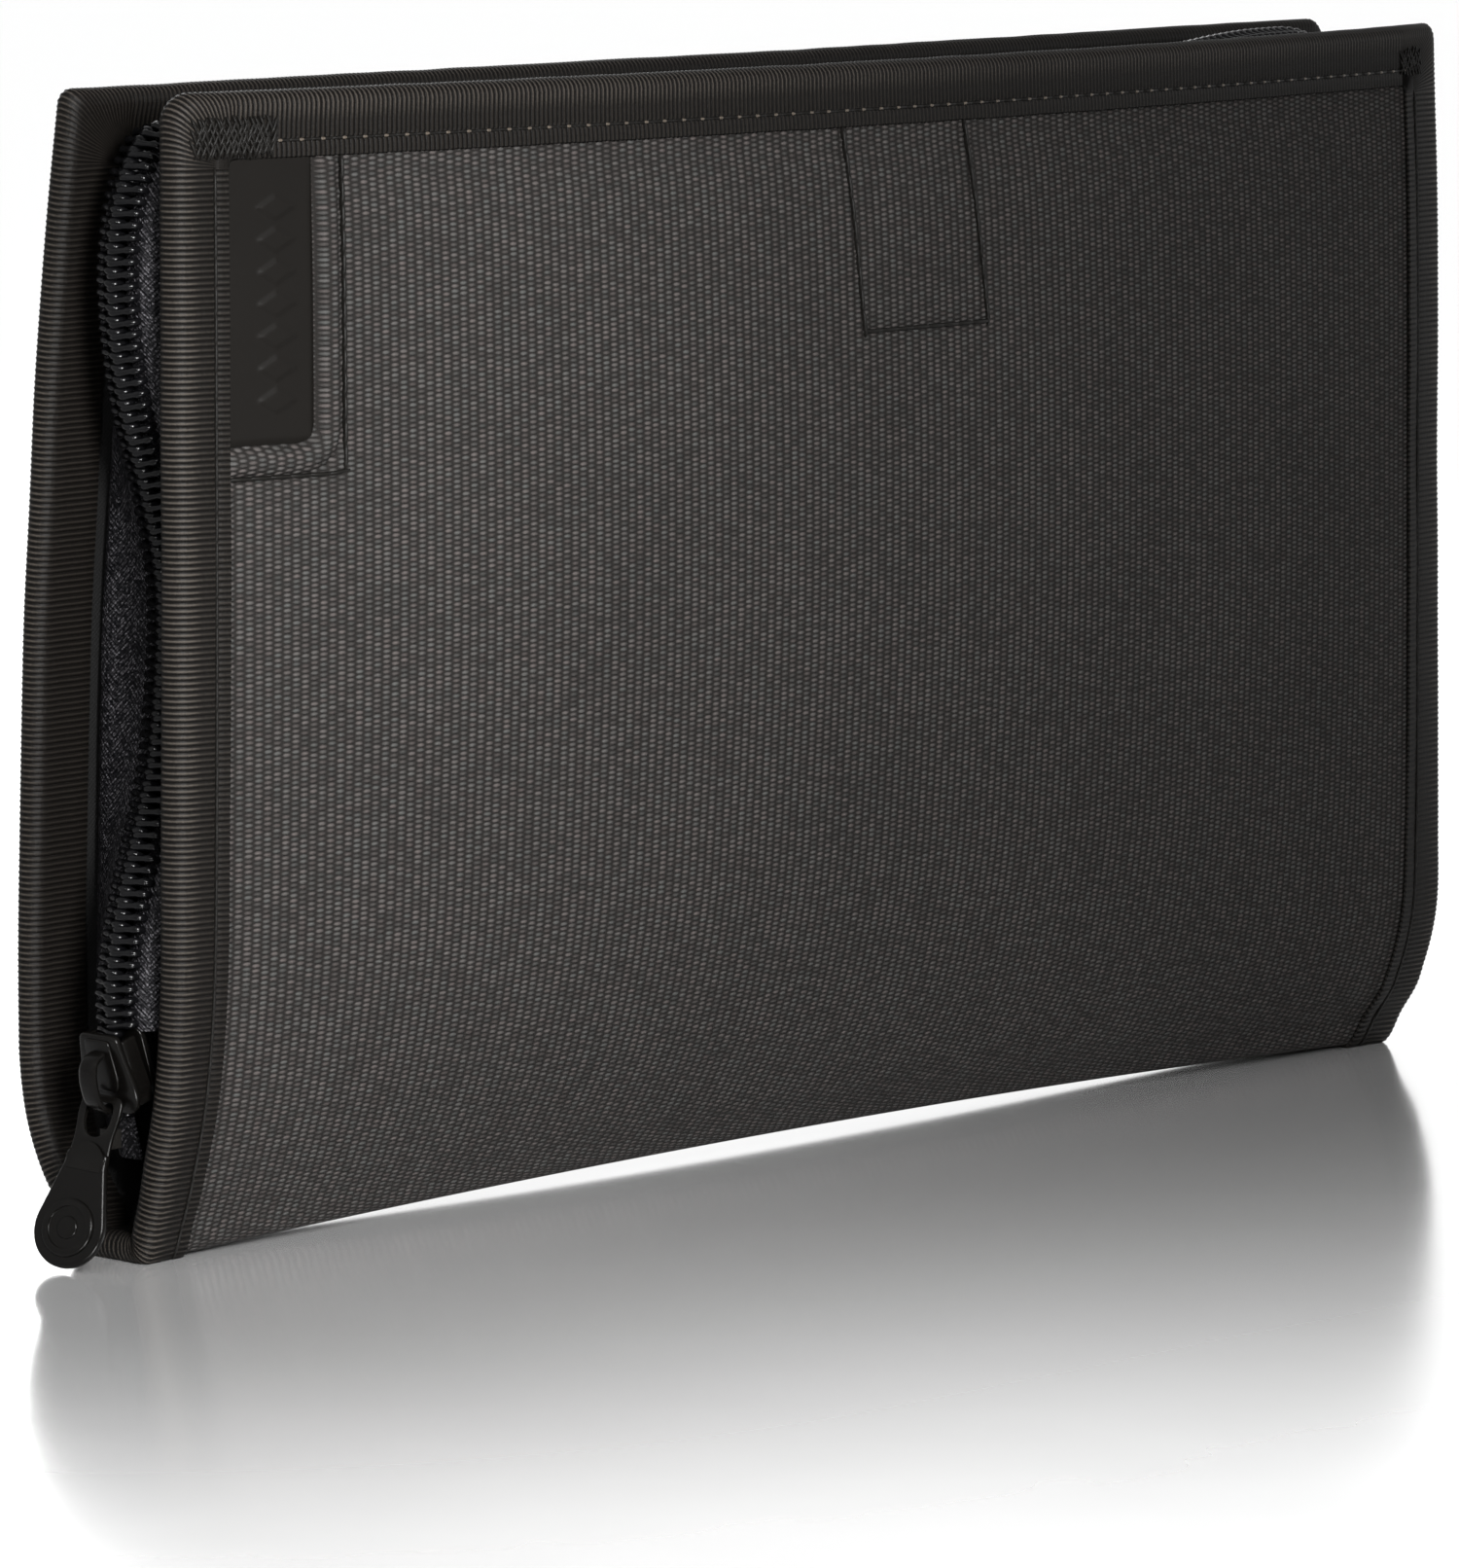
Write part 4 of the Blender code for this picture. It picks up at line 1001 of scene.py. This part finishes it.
def chain_rows(low):
    """Rows (chain point, inward direction, seam x and z, on the top run) around the three sides."""
    rows = [((left_x(z), CHAIN_Y, z), (1, 0, 0), (-SEAM_X, z), 0) for z in np.arange(low, CHAIN_CORNER, 1.2)]
    rows += chain_corner(-1)
    for share in np.linspace(-1, 1, 147):
        x = TOP_RUN[0] + (share + 1) / 2 * (TOP_RUN[1] - TOP_RUN[0])
        bow = TOP_BOW * (1 - share**2)
        rows.append(((x, CHAIN_Y - bow, top_z(x)), (0, 0, -1), (share * (SEAM_X - TAPE_CORNER), SEAM_Z), 1))
    rows += chain_corner(1)
    rows += [((right_x(z), CHAIN_Y, z), (-1, 0, 0), (SEAM_X, z), 0)
             for z in np.arange(CHAIN_CORNER_RIGHT - 1.2, TAPE_LOW, -1.2)]
    return (np.array(part, float) for part in zip(*rows))


def make_zip_tape(side):
    """Tape sewn inside the cover, turned out at its foot and hung slack to the chain."""
    points, inward, bases, top = chain_rows(FRONT_CHAIN_START if side < 0 else TAPE_LOW)
    run = run_of(points)
    back = TAPE_SEAM_INSET - TAPE_TURN_INSET
    seam_line = surface(bases[:, 0] + inward[:, 0] * back,
                        side * reach_at(side, bases[:, 1] + inward[:, 2] * back), TAPE_SEAM_DEPTH)
    turn = surface(bases[:, 0], side * reach_at(side, bases[:, 1]), TAPE_TURN_DEPTH)
    tangent = unit(np.gradient(points, axis=0))
    inward = unit(inward - (inward * tangent).sum(1)[:, None] * tangent)
    to_cover = np.array([0, side, 0])
    level = points + inward * TAPE_DROP
    knee = level + to_cover * (KNEE_REACH - KNEE_TOP_LESS * top)[:, None]
    edge = level + to_cover * TAPE_EDGE_GAP
    sag = TAPE_SAG * (1 + wander(run, 61 + side, 0.05)[:, None])
    hang = (turn + knee) / 2 + inward * sag * (1 - top[:, None])
    knots = np.stack([seam_line, turn, hang, knee, edge], 1)
    line = np.stack([through(k, 13) for k in knots])
    along_line = unit(np.gradient(line, axis=1))
    normal = unit(np.cross(along_line, tangent[:, None]))
    normal = normal * np.sign((normal[:, -1] * inward).sum(1))[:, None, None]
    rings = np.concatenate([line, (line + normal * TAPE_THICKNESS)[:, ::-1]], 1)
    around = there_and_back(np.linspace(0, TAPE_WIDTH, 13))
    item = loft(f"{SIDE_NAMES[side]}_tape", rings, run, around, tape)
    carry(item, COVERS[side], "zip_tape", f"{SIDE_NAMES[side]}_zip_tape")


TEETH_PITCH = 1.5
# One turn of the coil: (along the chain, across to its tape, out), from leg to head and back
TOOTH = ((0.28, 2.9, -1.30), (0.26, 2.9, 0.0), (0.20, 2.5, 0.40), (0.12, 1.8, 0.44), (0.02, 1.05, 0.62),
         (-0.06, 0.35, 0.90), (-0.13, -0.2, 0.84), (-0.16, -0.58, 0.25), (-0.12, -0.40, -0.50),
         (0.0, 0.75, -1.30))
TOOTH_RADII = (0.42, 0.50, 0.54, 0.46, 0.46, 0.56, 0.62, 0.56, 0.46, 0.40)


def make_zip_coil(side):
    """Teeth of one side, half a pitch off the other side's."""
    half_pitch = TEETH_PITCH / 2
    low = FRONT_CHAIN_START if side < 0 else CHAIN_LOW
    offset = half_pitch if side < 0 else TEETH_PITCH + (FRONT_CHAIN_START - CHAIN_LOW) % TEETH_PITCH
    points, inward, _, _ = chain_rows(low)
    run = run_of(points)
    at = np.arange(offset, run[-1] - 0.5, TEETH_PITCH)
    tangent = unit(at_run(at + 0.8, run, points) - at_run(at - 0.8, run, points))
    out = -at_run(at, run, inward)
    out = unit(out - (out * tangent).sum(1)[:, None] * tangent)
    across = unit(np.cross(out, tangent))
    across = across * np.sign(across[:, 1])[:, None]
    axes = np.stack([tangent, side * across, out], 1)
    template = tube(TOOTH, TOOTH_RADII, (1, 0, 0), 8)
    item = instances(f"{SIDE_NAMES[side]}_teeth", at_run(at, run, points), axes, template, coil)
    carry(item, COVERS[side], "coil", f"{SIDE_NAMES[side]}_zip_coil")


# ---- sliders and pulls ----
METAL_SMOOTH = 40


def prism(name, outline, low, high, place, bevel, segments=3):
    """Metal plate on an outline, with rounded edges; place turns (a, b, c) in mm into metres."""
    n = len(outline)
    vertices = [place(a, b, c) for c in (low, high) for a, b in outline]
    faces = [list(range(n))[::-1], list(range(n, 2 * n))]
    faces += [[i, (i + 1) % n, n + (i + 1) % n, n + i] for i in range(n)]
    mesh = bpy.data.meshes.new(name)
    mesh.from_pydata(vertices, [], faces)
    item = add_object(name, mesh)
    fix_normals(mesh)
    if bevel:
        rounding = item.modifiers.new("rounding", "BEVEL")
        rounding.width = bevel / 1000
        rounding.segments = segments
        rounding.limit_method = "ANGLE"
        rounding.angle_limit = math.radians(METAL_SMOOTH)
    mesh.materials.append(metal)
    return item


def settle(item):
    """Applies the modifiers of a mesh."""
    bpy.context.view_layer.update()
    shaped = item.evaluated_get(bpy.context.evaluated_depsgraph_get())
    mesh = bpy.data.meshes.new_from_object(shaped)
    item.modifiers.clear()
    item.data = mesh
    round_off(mesh, METAL_SMOOTH)


def unite(name, base, others, operation="UNION"):
    """Joins others to the base, or cuts them out of it, and removes them."""
    settle(base)
    for other in others:
        settle(other)
        step = base.modifiers.new("join", "BOOLEAN")
        step.operation = operation
        step.object = other
        settle(base)
        bpy.data.objects.remove(other, do_unlink=True)
    base.name = name
    base.data.name = name
    return base


def rounded(outline, radius):
    """The outline with its corners turned into short arcs."""
    found = []
    p = np.array(outline, float)
    for before, here, after in zip(np.roll(p, 1, 0), p, np.roll(p, -1, 0)):
        a, b = before - here, after - here
        cut = min(radius, np.linalg.norm(a) * 0.45, np.linalg.norm(b) * 0.45)
        start, stop = here + unit(a) * cut, here + unit(b) * cut
        for t in np.linspace(0, 1, 4):
            found.append(tuple((1 - t) ** 2 * start + 2 * t * (1 - t) * here + t**2 * stop))
    return found


def mirrored(half_outline):
    return list(half_outline) + [(a, -b) for a, b in reversed(half_outline)]


class SliderFrame:
    """Directions of a slider: t along the chain, w across, n away from the covers, and its bar."""

    def __init__(self, bar, t, w, n, scale):
        self.bar, self.t, self.w, self.n, self.scale = (Vector(bar), Vector(t), Vector(w), Vector(n), scale)

    def place(self, a, b, c):
        """From (t, w, n) in mm, measured from the bar."""
        a, b, c = (float(v) * 0.001 * self.scale for v in (a, b, c))
        return self.bar + self.t * a + self.w * b + self.n * c


BAR_T = -2.6
BAR_N = 3.5


def crown_strap():
    """Rings of the crown, a strap that arches over the bar and is wider at its shoulder."""
    profile = ((3.4, 2.3), (3.3, 3.6), (2.9, 4.6), (2.0, 5.3), (0.6, 5.7), (-1.2, 5.8), (-2.7, 5.6),
               (-3.8, 5.0), (-4.6, 4.1), (-4.9, 3.1), (-4.9, 2.2))
    thickness = 0.85
    centre = through([(a, 0.0, b) for a, b in profile], 30)
    tangent = unit(np.gradient(centre, axis=0))
    inward = np.stack([tangent[:, 2], 0 * tangent[:, 0], -tangent[:, 0]], -1)
    inward = inward * -np.sign(inward[15, 2])
    half = 1.25 + 0.22 * np.sin(math.pi * np.linspace(0, 1, 30))
    ring = rounded([(-1, 0), (1, 0), (1, 1), (-1, 1)], 0.42)
    return np.array([[point + np.array([0, a * wide, 0]) + into * b * thickness for a, b in ring]
                     for point, into, wide in zip(centre, inward, half)])


def make_slider(name, crown_name, where, body, body_node, crown_node, lower):
    """Slider with a tapered top plate, side lips, a crown and, if it shows, a lower plate."""
    def place(a, b, c):
        return where.place(a - BAR_T, b, c - BAR_N)

    def plate(part, outline, low, high, bevel):
        return prism(part, rounded(mirrored(outline), 0.8), low, high, place, bevel)

    top = plate("plate", ((5.4, 3.3), (3.2, 3.75), (0.6, 4.3), (-1.8, 4.85), (-3.6, 4.75), (-5.2, 3.4)),
                1.35, 2.45, 0.42)
    others = [plate("ridge", ((4.9, 2.2), (-0.5, 2.5), (-2.2, 1.9)), 2.3, 2.75, 0.2)]
    for sign in (-1, 1):
        lip = [(4.6, sign * 3.0), (4.6, sign * 3.75), (1.0, sign * 4.2), (-2.0, sign * 4.7),
               (-4.0, sign * 4.55), (-4.0, sign * 3.9), (-2.0, sign * 3.9), (1.0, sign * 3.45)]
        others.append(prism("lip", lip, -0.65, 1.7, place, 0.2))
    if lower:
        others.append(plate("lower", ((5.0, 2.9), (4.0, 3.5), (-3.2, 3.6), (-5.0, 2.8)), -2.7, -1.8, 0.25))
        post = [(-4.9, -0.55), (-3.9, -0.55), (-3.9, 0.55), (-4.9, 0.55)]
        others.append(prism("post", post, -2.2, 1.9, place, 0.1))
    item = unite(name, top, others)
    carry(item, body, "black_metal", body_node)

    strap = crown_strap()
    vertices = [place(*p) for p in strap.reshape(-1, 3)]
    mesh = bpy.data.meshes.new(crown_name)
    mesh.from_pydata(vertices, [], grid_faces(*strap.shape[:2]))
    crown = add_object(crown_name, mesh)
    fix_normals(mesh)
    round_off(mesh, METAL_SMOOTH)
    mesh.materials.append(metal)
    carry(crown, body, "black_metal", crown_node)


def make_pull(name, where, lean, twist, body, node):
    """Cast pull: a loop on the bar, an arched step, a widening blade and a tip with a round boss."""
    radius, length = 5.1, 22.0
    centre = length - radius
    turn = Matrix.Rotation(math.radians(lean), 3, where.w)
    down, face = turn @ -where.t, turn @ where.n
    spin = Matrix.Rotation(math.radians(twist), 3, down)
    across, face = spin @ where.w, spin @ face

    def place(a, b, c):
        a, b, c = (float(v) * 0.001 * where.scale for v in (a, b, c))
        return where.bar + down * a + across * b + face * c

    tip = [(centre + radius * math.cos(t), radius * math.sin(t)) for t in np.radians(np.linspace(106, 0, 14))]
    blade = mirrored([(7.0, 2.95), (9.0, 3.1)] + tip[:-1] + [(centre + radius, 0.02)])
    base = prism("blade", blade, -0.62, 0.62, place, 0.42, 4)
    arch = [(5.7 + 2.1 * math.sin(t) ** 2, 2.9 * math.sin(t)) for t in np.radians(np.linspace(-90, 90, 13))]
    step = prism("step", arch + [(9.5, 2.6), (9.5, -2.6)], -0.3, 0.74, place, 0.14, 2)
    head_outline = mirrored([(-0.35, 2.35), (0.25, 3.0), (2.0, 3.1), (5.0, 2.8), (8.4, 2.95)])
    head = prism("head", rounded(head_outline, 0.5), -0.42, 0.18, place, 0.25)
    hole_outline = mirrored([(0.55, 1.75), (1.6, 2.05), (3.2, 1.95), (4.4, 1.5), (5.1, 0.6)])
    hole = prism("hole", rounded(hole_outline, 0.5), -2, 2, place, 0)

    def disc(part, r, low, high, bevel):
        outline = [(centre + r * math.cos(t), r * math.sin(t)) for t in np.linspace(0, math.tau, 40)[:-1]]
        return prism(part, outline, low, high, place, bevel)

    boss = disc("boss", 3.75, 0.2, 1.02, 0.36)
    dish = disc("dish", 2.75, 0.78, 1.6, 0.14)
    bead = disc("bead", 1.5, 0.2, 1.0, 0.3)
    item = unite(name, head, [base, step])
    unite(name, item, [hole], "DIFFERENCE")
    unite(name, item, [boss])
    unite(name, item, [dish], "DIFFERENCE")
    unite(name, item, [bead])
    carry(item, body, "black_metal", node)


SLIDER_TILT = -17.0
PULL_LEAN = 20.0
PULL_TWIST = -13.0


def make_sliders():
    tilt = math.radians(SLIDER_TILT)
    t = (math.sin(tilt), 0.0, math.cos(tilt))
    n = (-math.cos(tilt), 0.0, math.sin(tilt))
    main = SliderFrame(JOINTS["pull_swing"]["pos_m"], t, (0, 1, 0), n, 1.0)
    make_slider("main_slider", "main_slider_crown", main, "zip_slider", "slider_body", "slider_crown",
                lower=True)
    upright = SliderFrame(JOINTS["pull_swing"]["pos_m"], (0, 0, 1), (0, 1, 0), (-1, 0, 0), 1.0)
    make_pull("main_pull", upright, PULL_LEAN, PULL_TWIST, "zip_pull", "pull_tab")

    axis = Vector(JOINTS["coin_pull_swing"]["pos_m"])
    height = float((axis.z - SHIFT[2]) * 1000)
    reach = float(reach_at(1, height))
    x = (axis.x - SHIFT[0]) * 1000
    low, high = surface([x, x], [reach, reach], [4.0, 5.0])
    inner = Vector(high - low).normalized()
    along = Vector((1, 0, 0))
    coin = SliderFrame(axis, along, inner.cross(along), inner, 0.6)
    make_slider("coin_zip_slider_body", "coin_zip_slider_crown", coin, "coin_zip_slider",
                "coin_slider", "coin_slider_crown", lower=False)
    make_pull("coin_zip_pull_tab", coin, 0.0, 0.0, "coin_zip_pull", "coin_pull")


# ---- inside: boards, lining and pockets ----
# Depths below the canvas, and thicknesses
BOARD_LAYER = (1.4, 0.5)
LINING_LAYER = (2.15, 0.3)
COIN_BAND_LAYER = (2.75, 0.3)


def make_board(side):
    """Stiff board between the canvas and the lining, clear of the fold at its foot."""
    low, high = 8.0, HEIGHT - 4.5
    xs = lines((-HALF + 6, 4.0), (HALF - 5, 4.0))
    zs = lines((low, 4.0), (high, 4.0))
    name = SIDE_NAMES[side]
    item = sheet(f"{name}_board", xs, side * reach_at(side, zs), *BOARD_LAYER, board)
    carry(item, COVERS[side], "board", f"{name}_stiffener")


def make_lining(side):
    def relief(x, along):
        z = height_at(side, along)
        return 0.08 * wander(x + z, 15 + side, 0.05) * smooth(z, 10, 20)

    xs = lines((-HALF + 2.5, 2.6), (HALF - 2.5, 2.6))
    reach = lines((0, 1.2), (reach_at(side, 24), 3.0), (TOP_REACH[side] - 2.5, 3.0))
    name = SIDE_NAMES[side]
    item = sheet(f"{name}_inner_lining", xs, side * reach, *LINING_LAYER, lining, relief)
    fold(item, side, "lining", f"{name}_lining", "spine_lining")
    (TOP_REACH[side] - 2.5) / 1000


SEAM_MARGIN = 1.6


def make_pocket(name, side, left, right, low, high, depth, thick, cloth, slot, node, sag=0.25, hem=5.0):
    """Pocket leaf with a doubled hem at its mouth, sewn down on its other three sides."""
    xs = lines((left, 1.2), (left + 6, 2.6), (right - 6, 1.2), (right, 1.2))
    zs = lines((low, 1.0), (low + 5, 2.6), (high - hem - 1.5, 0.5), (high, 0.5))

    def relief(x, along):
        z = height_at(side, along)
        span = np.clip((x - left) / (right - left), 0, 1)
        mouth = smooth(z, low + 8, high)
        gather = 0.05 * wander(x, 30 + len(name), 0.2) * mouth
        hem_step = 0.072 * smooth(z, high - hem - 0.6, high - hem)
        pinch = 0.06 * (1 - smooth(np.minimum(x - left, right - x), 0, 2))
        return sag * np.sin(math.pi * span) * mouth * 0.35 + gather + hem_step + pinch

    alongs = side * reach_at(side, zs)
    item = sheet(name, xs, alongs, depth, thick, cloth, relief)
    carry(item, COVERS[side], slot, node)
    inner = depth + thick + 0.16
    a, b, foot = left + SEAM_MARGIN, right - SEAM_MARGIN, low + SEAM_MARGIN
    hem_z = high - hem + 0.8
    inside_seam(f"{name}_seam", side, [(a, high - 1), (a, foot), (b, foot), (b, high - 1)], inner)
    inside_seam(f"{name}_hem", side, [(left + 2, hem_z), (right - 2, hem_z)], inner + 0.06)


def inside_seam(name, side, corners, depth):
    path, outward = surface_path([(x, side * float(reach_at(side, z)), depth) for x, z in corners])
    rows = stitch_row(name, path, -outward, 2.4, 0.8, 0.3, thread)
    carry(rows, COVERS[side], "lining")


def make_pockets():
    half = 105.0
    make_pocket("document_pocket_leaf", -1, -half, half, 22, 108, 2.75, 0.3, pocket_cloth, "pocket",
                "document_pocket")
    for number in range(3):
        make_pocket(f"card_pocket_{number + 1}", -1, -half, -12, 26, 96 - 14 * number, 3.35 + 0.55 * number,
                    0.28, lining, "lining", f"card_slot_{number + 1}", sag=0.1)
    make_pocket("passport_pocket_leaf", 1, -half, half, 24, 86, 4.3, 0.5, pocket_cloth, "pocket",
                "passport_pocket")
    make_pocket("coin_pocket_front", 1, -half, half, 22, 100.6, 3.35, 0.5, lining, "lining",
                "coin_pocket_lower", sag=0.0)
    make_pocket("coin_pocket_top", 1, -half, half, 107.4, 126, 3.35, 0.35, lining, "lining",
                "coin_pocket_upper", sag=0.0, hem=3.0)


COIN_ZIP_Z = 104.0


def make_coin_zip():
    xs = lines((-97, 2.4), (97, 2.4))
    zs = lines((COIN_ZIP_Z - 7, 1.0), (COIN_ZIP_Z + 7, 1.0))
    band = sheet("coin_zip_band", xs, reach_at(1, zs), *COIN_BAND_LAYER, tape)
    carry(band, "rear_cover", "zip_tape", "coin_zip_tape")
    scale = 0.55
    at = np.arange(-92.0, 92.0, TEETH_PITCH * scale)
    reach = float(reach_at(1, COIN_ZIP_Z))
    origin = surface(at, reach, 3.75)
    inner = unit(surface(at, reach, 4.75) - origin)
    ahead = np.tile([1.0, 0, 0], (len(at), 1))
    across = np.cross(inner, ahead)
    template = tube(TOOTH, TOOTH_RADII, (1, 0, 0), 6)
    for number, sign in enumerate((-1, 1)):
        shift = ahead * (TEETH_PITCH * scale / 2 * number)
        axes = np.stack([ahead, sign * across, inner], 1)
        item = instances(f"coin_zip_teeth_{number + 1}", origin + shift, axes, template, coil, scale)
        carry(item, "rear_cover", "coil", *(["coin_zip_coil"] if number == 0 else []))


# ---- pen loop and key tab ----
def make_pen_loop():
    """Woven loop on the spine: a round tube of tape with turned, stitched ends."""
    low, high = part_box("pen_loop")
    centre = ((np.array(low) + np.array(high)) / 2 - SHIFT) * 1000
    half = (high.x - low.x) * 500
    radius = (high.y - low.y) * 500
    stations = np.arange(0, 2 * half + 0.01, RIB / 4)
    ridge = 0.042 * np.sqrt(np.abs(np.sin(math.pi * stations / RIB)))
    hem = 0.056 * smooth(np.abs(stations - half), half - 2.2, half - 1.6)
    outside = radius - 0.08 + ridge + hem
    inside = np.full(len(stations), radius - 0.6)
    section = list(zip(np.concatenate([stations, stations[::-1]]), np.concatenate([outside, inside])))
    turns = 48
    size = len(section)
    points, faces, uv = [], [], []
    step = radius * math.tau / turns
    for j in range(turns):
        angle = math.tau * j / turns
        beside = (j + 1) % turns
        for k, (place, r) in enumerate(section):
            after = (k + 1) % size
            points.append(centre + (place - half, r * math.cos(angle), r * math.sin(angle)))
            faces.append([j * size + k, j * size + after, beside * size + after, beside * size + k])
            uv += [(place, j * step), (section[after][0], j * step),
                   (section[after][0], (j + 1) * step), (place, (j + 1) * step)]
    item = make_mesh("pen_loop_tape", np.array(points), faces, grosgrain, np.array(uv))
    fix_normals(item.data)
    round_off(item.data, 60)
    carry(item, "spine", "grosgrain", "pen_loop")


def make_key_tab():
    """Webbing folded round the ring's bar, with ribs across it."""
    low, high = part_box("key_tab")
    outer_radius, inner_radius, ridge_height = 1.7, 1.1, 0.06
    _, axis_y, axis_z = (np.array(JOINTS["key_ring_swing"]["pos_m"]) - SHIFT) * 1000
    left, right = (low.x - SHIFT[0]) * 1000, (high.x - SHIFT[0]) * 1000
    lean = ((low.y + high.y) / 2 - SHIFT[1]) * 1000 - axis_y
    top = high.z * 1000 - axis_z
    leg = np.arange(high.z * 1000, axis_z, -RIB / 4) - axis_z
    turn = np.radians(np.linspace(0, 180, 22))
    above = np.concatenate([leg, 0 * turn, leg[::-1]])
    below = np.concatenate([0 * leg, np.sin(turn), 0 * leg])
    cosine = np.concatenate([0 * leg + 1, np.cos(turn), 0 * leg - 1])
    rings = np.stack([
        np.stack([axis_y + radius * cosine + 2 * lean * above / top, axis_z + above - radius * below], -1)
        for radius in (outer_radius, inner_radius)], 1)
    run = run_of(rings[:, 0])
    ridge = ridge_height * (np.sqrt(np.abs(np.sin(math.pi * run / RIB))) - 1)
    rings[:, 0] += unit(rings[:, 0] - rings[:, 1]) * ridge[:, None]
    across = np.linspace(left, right, 9)
    solid = [[(x, *outer_yz) for x in across] + [(x, *inner_yz) for x in across[::-1]]
             for outer_yz, inner_yz in rings]
    item = loft("key_tab_webbing", np.array(solid), run, there_and_back(across), grosgrain)
    carry(item, "front_cover", "grosgrain", "key_tab")


# ---- camera, light and floor ----
CAMERA_PLACE = (-929.7, -843.8, 217.8)
CAMERA_ANGLES = (47.4, 7.66, 0.36)  # yaw, downward pitch and roll, in degrees
FOCAL_LENGTH = 216.65
FLOOR_HALF = 9.0


def look():
    """Camera at the photograph's place: direction, height and distance from the object."""
    yaw, pitch, roll = (math.radians(a) for a in CAMERA_ANGLES)
    ahead = Vector((math.sin(yaw) * math.cos(pitch), math.cos(yaw) * math.cos(pitch), -math.sin(pitch)))
    right = Vector((math.cos(yaw), -math.sin(yaw), 0))
    up = right.cross(ahead)
    tilted_right = math.cos(roll) * right + math.sin(roll) * up
    tilted_up = math.cos(roll) * up - math.sin(roll) * right
    data = bpy.data.cameras.new("camera")
    data.lens = FOCAL_LENGTH
    data.sensor_width = 36.0
    data.clip_end = 50.0
    camera = add_object("camera", data)
    place = Vector(to_world(CAMERA_PLACE))
    rows = Matrix((tilted_right, tilted_up, -ahead)).transposed()
    camera.matrix_world = Matrix.Translation(place) @ rows.to_4x4()
    bpy.context.scene.camera = camera


# Soft lights: name, place, target, width, height, power in watts and spread in degrees
LIGHTS = (
    ("key", (-0.27, -0.33, 0.20), (-0.085, 0, 0.085), 0.12, 0.16, 0.92, 52),
    ("end", (-0.62, 0.16, 0.30), (-0.12, 0, 0.07), 0.5, 0.6, 0.30, 110),
    ("glint", (-0.62, -0.36, 0.42), (-0.12, 0, 0.08), 0.02, 0.02, 0.32, 60),
    ("rim", (0.45, -0.20, 0.22), (0.12, 0, 0.09), 0.15, 0.15, 0.07, 70),
    ("back", (0.35, 0.75, 0.45), (0, 0, 0.07), 0.5, 0.5, 2.0, 120),
)


def soft_box(name, place, target, width, height, power, spread):
    data = bpy.data.lights.new(name, "AREA")
    data.shape = "RECTANGLE"
    data.size = width
    data.size_y = height
    data.energy = power
    data.spread = math.radians(spread)
    item = add_object(name, data)
    item.location = place
    item.rotation_euler = (Vector(target) - Vector(place)).to_track_quat("-Z", "Y").to_euler()


def make_studio():
    world = bpy.data.worlds.new("studio")
    bpy.context.scene.world = world
    world.use_nodes = True
    sky = world.node_tree.nodes["Background"]
    sky.inputs[0].default_value = (1.0, 1.0, 1.0, 1.0)
    sky.inputs[1].default_value = 1.0
    bpy.context.scene.view_settings.view_transform = "Standard"
    for light in LIGHTS:
        soft_box(*light)
    mesh = bpy.data.meshes.new("floor")
    corners = [(x * FLOOR_HALF, y * FLOOR_HALF, 0) for x, y in ((-1, -1), (1, -1), (1, 1), (-1, 1))]
    mesh.from_pydata(corners, [], [(0, 1, 2, 3)])
    mesh.materials.append(floor_finish())
    add_object("floor", mesh)


# ---- assembly ----
look()
make_studio()
for side in (-1, 1):
    make_board(side)
    make_canvas(side)
    make_lining(side)
    make_binding(side)
    for end in (-1, 1):
        make_bar_tack(side, end)
    make_zip_tape(side)
    make_zip_coil(side)
make_patch()
seam("patch_seam", [(PATCH_RIGHT + 3.8, HEIGHT - 8.6), (PATCH_RIGHT + 3.8, PATCH_LOW - 3.6),
                    (-HALF + 9.6, PATCH_LOW - 3.6)], 0.46)
seam("key_seam", [(-12.0, HEIGHT - 8.7), (-9.5, 111.8), (15.0, 111.8), (12.0, HEIGHT - 8.7)], 0.32)
make_sliders()
make_pockets()
make_coin_zip()
make_pen_loop()
make_key_tab()
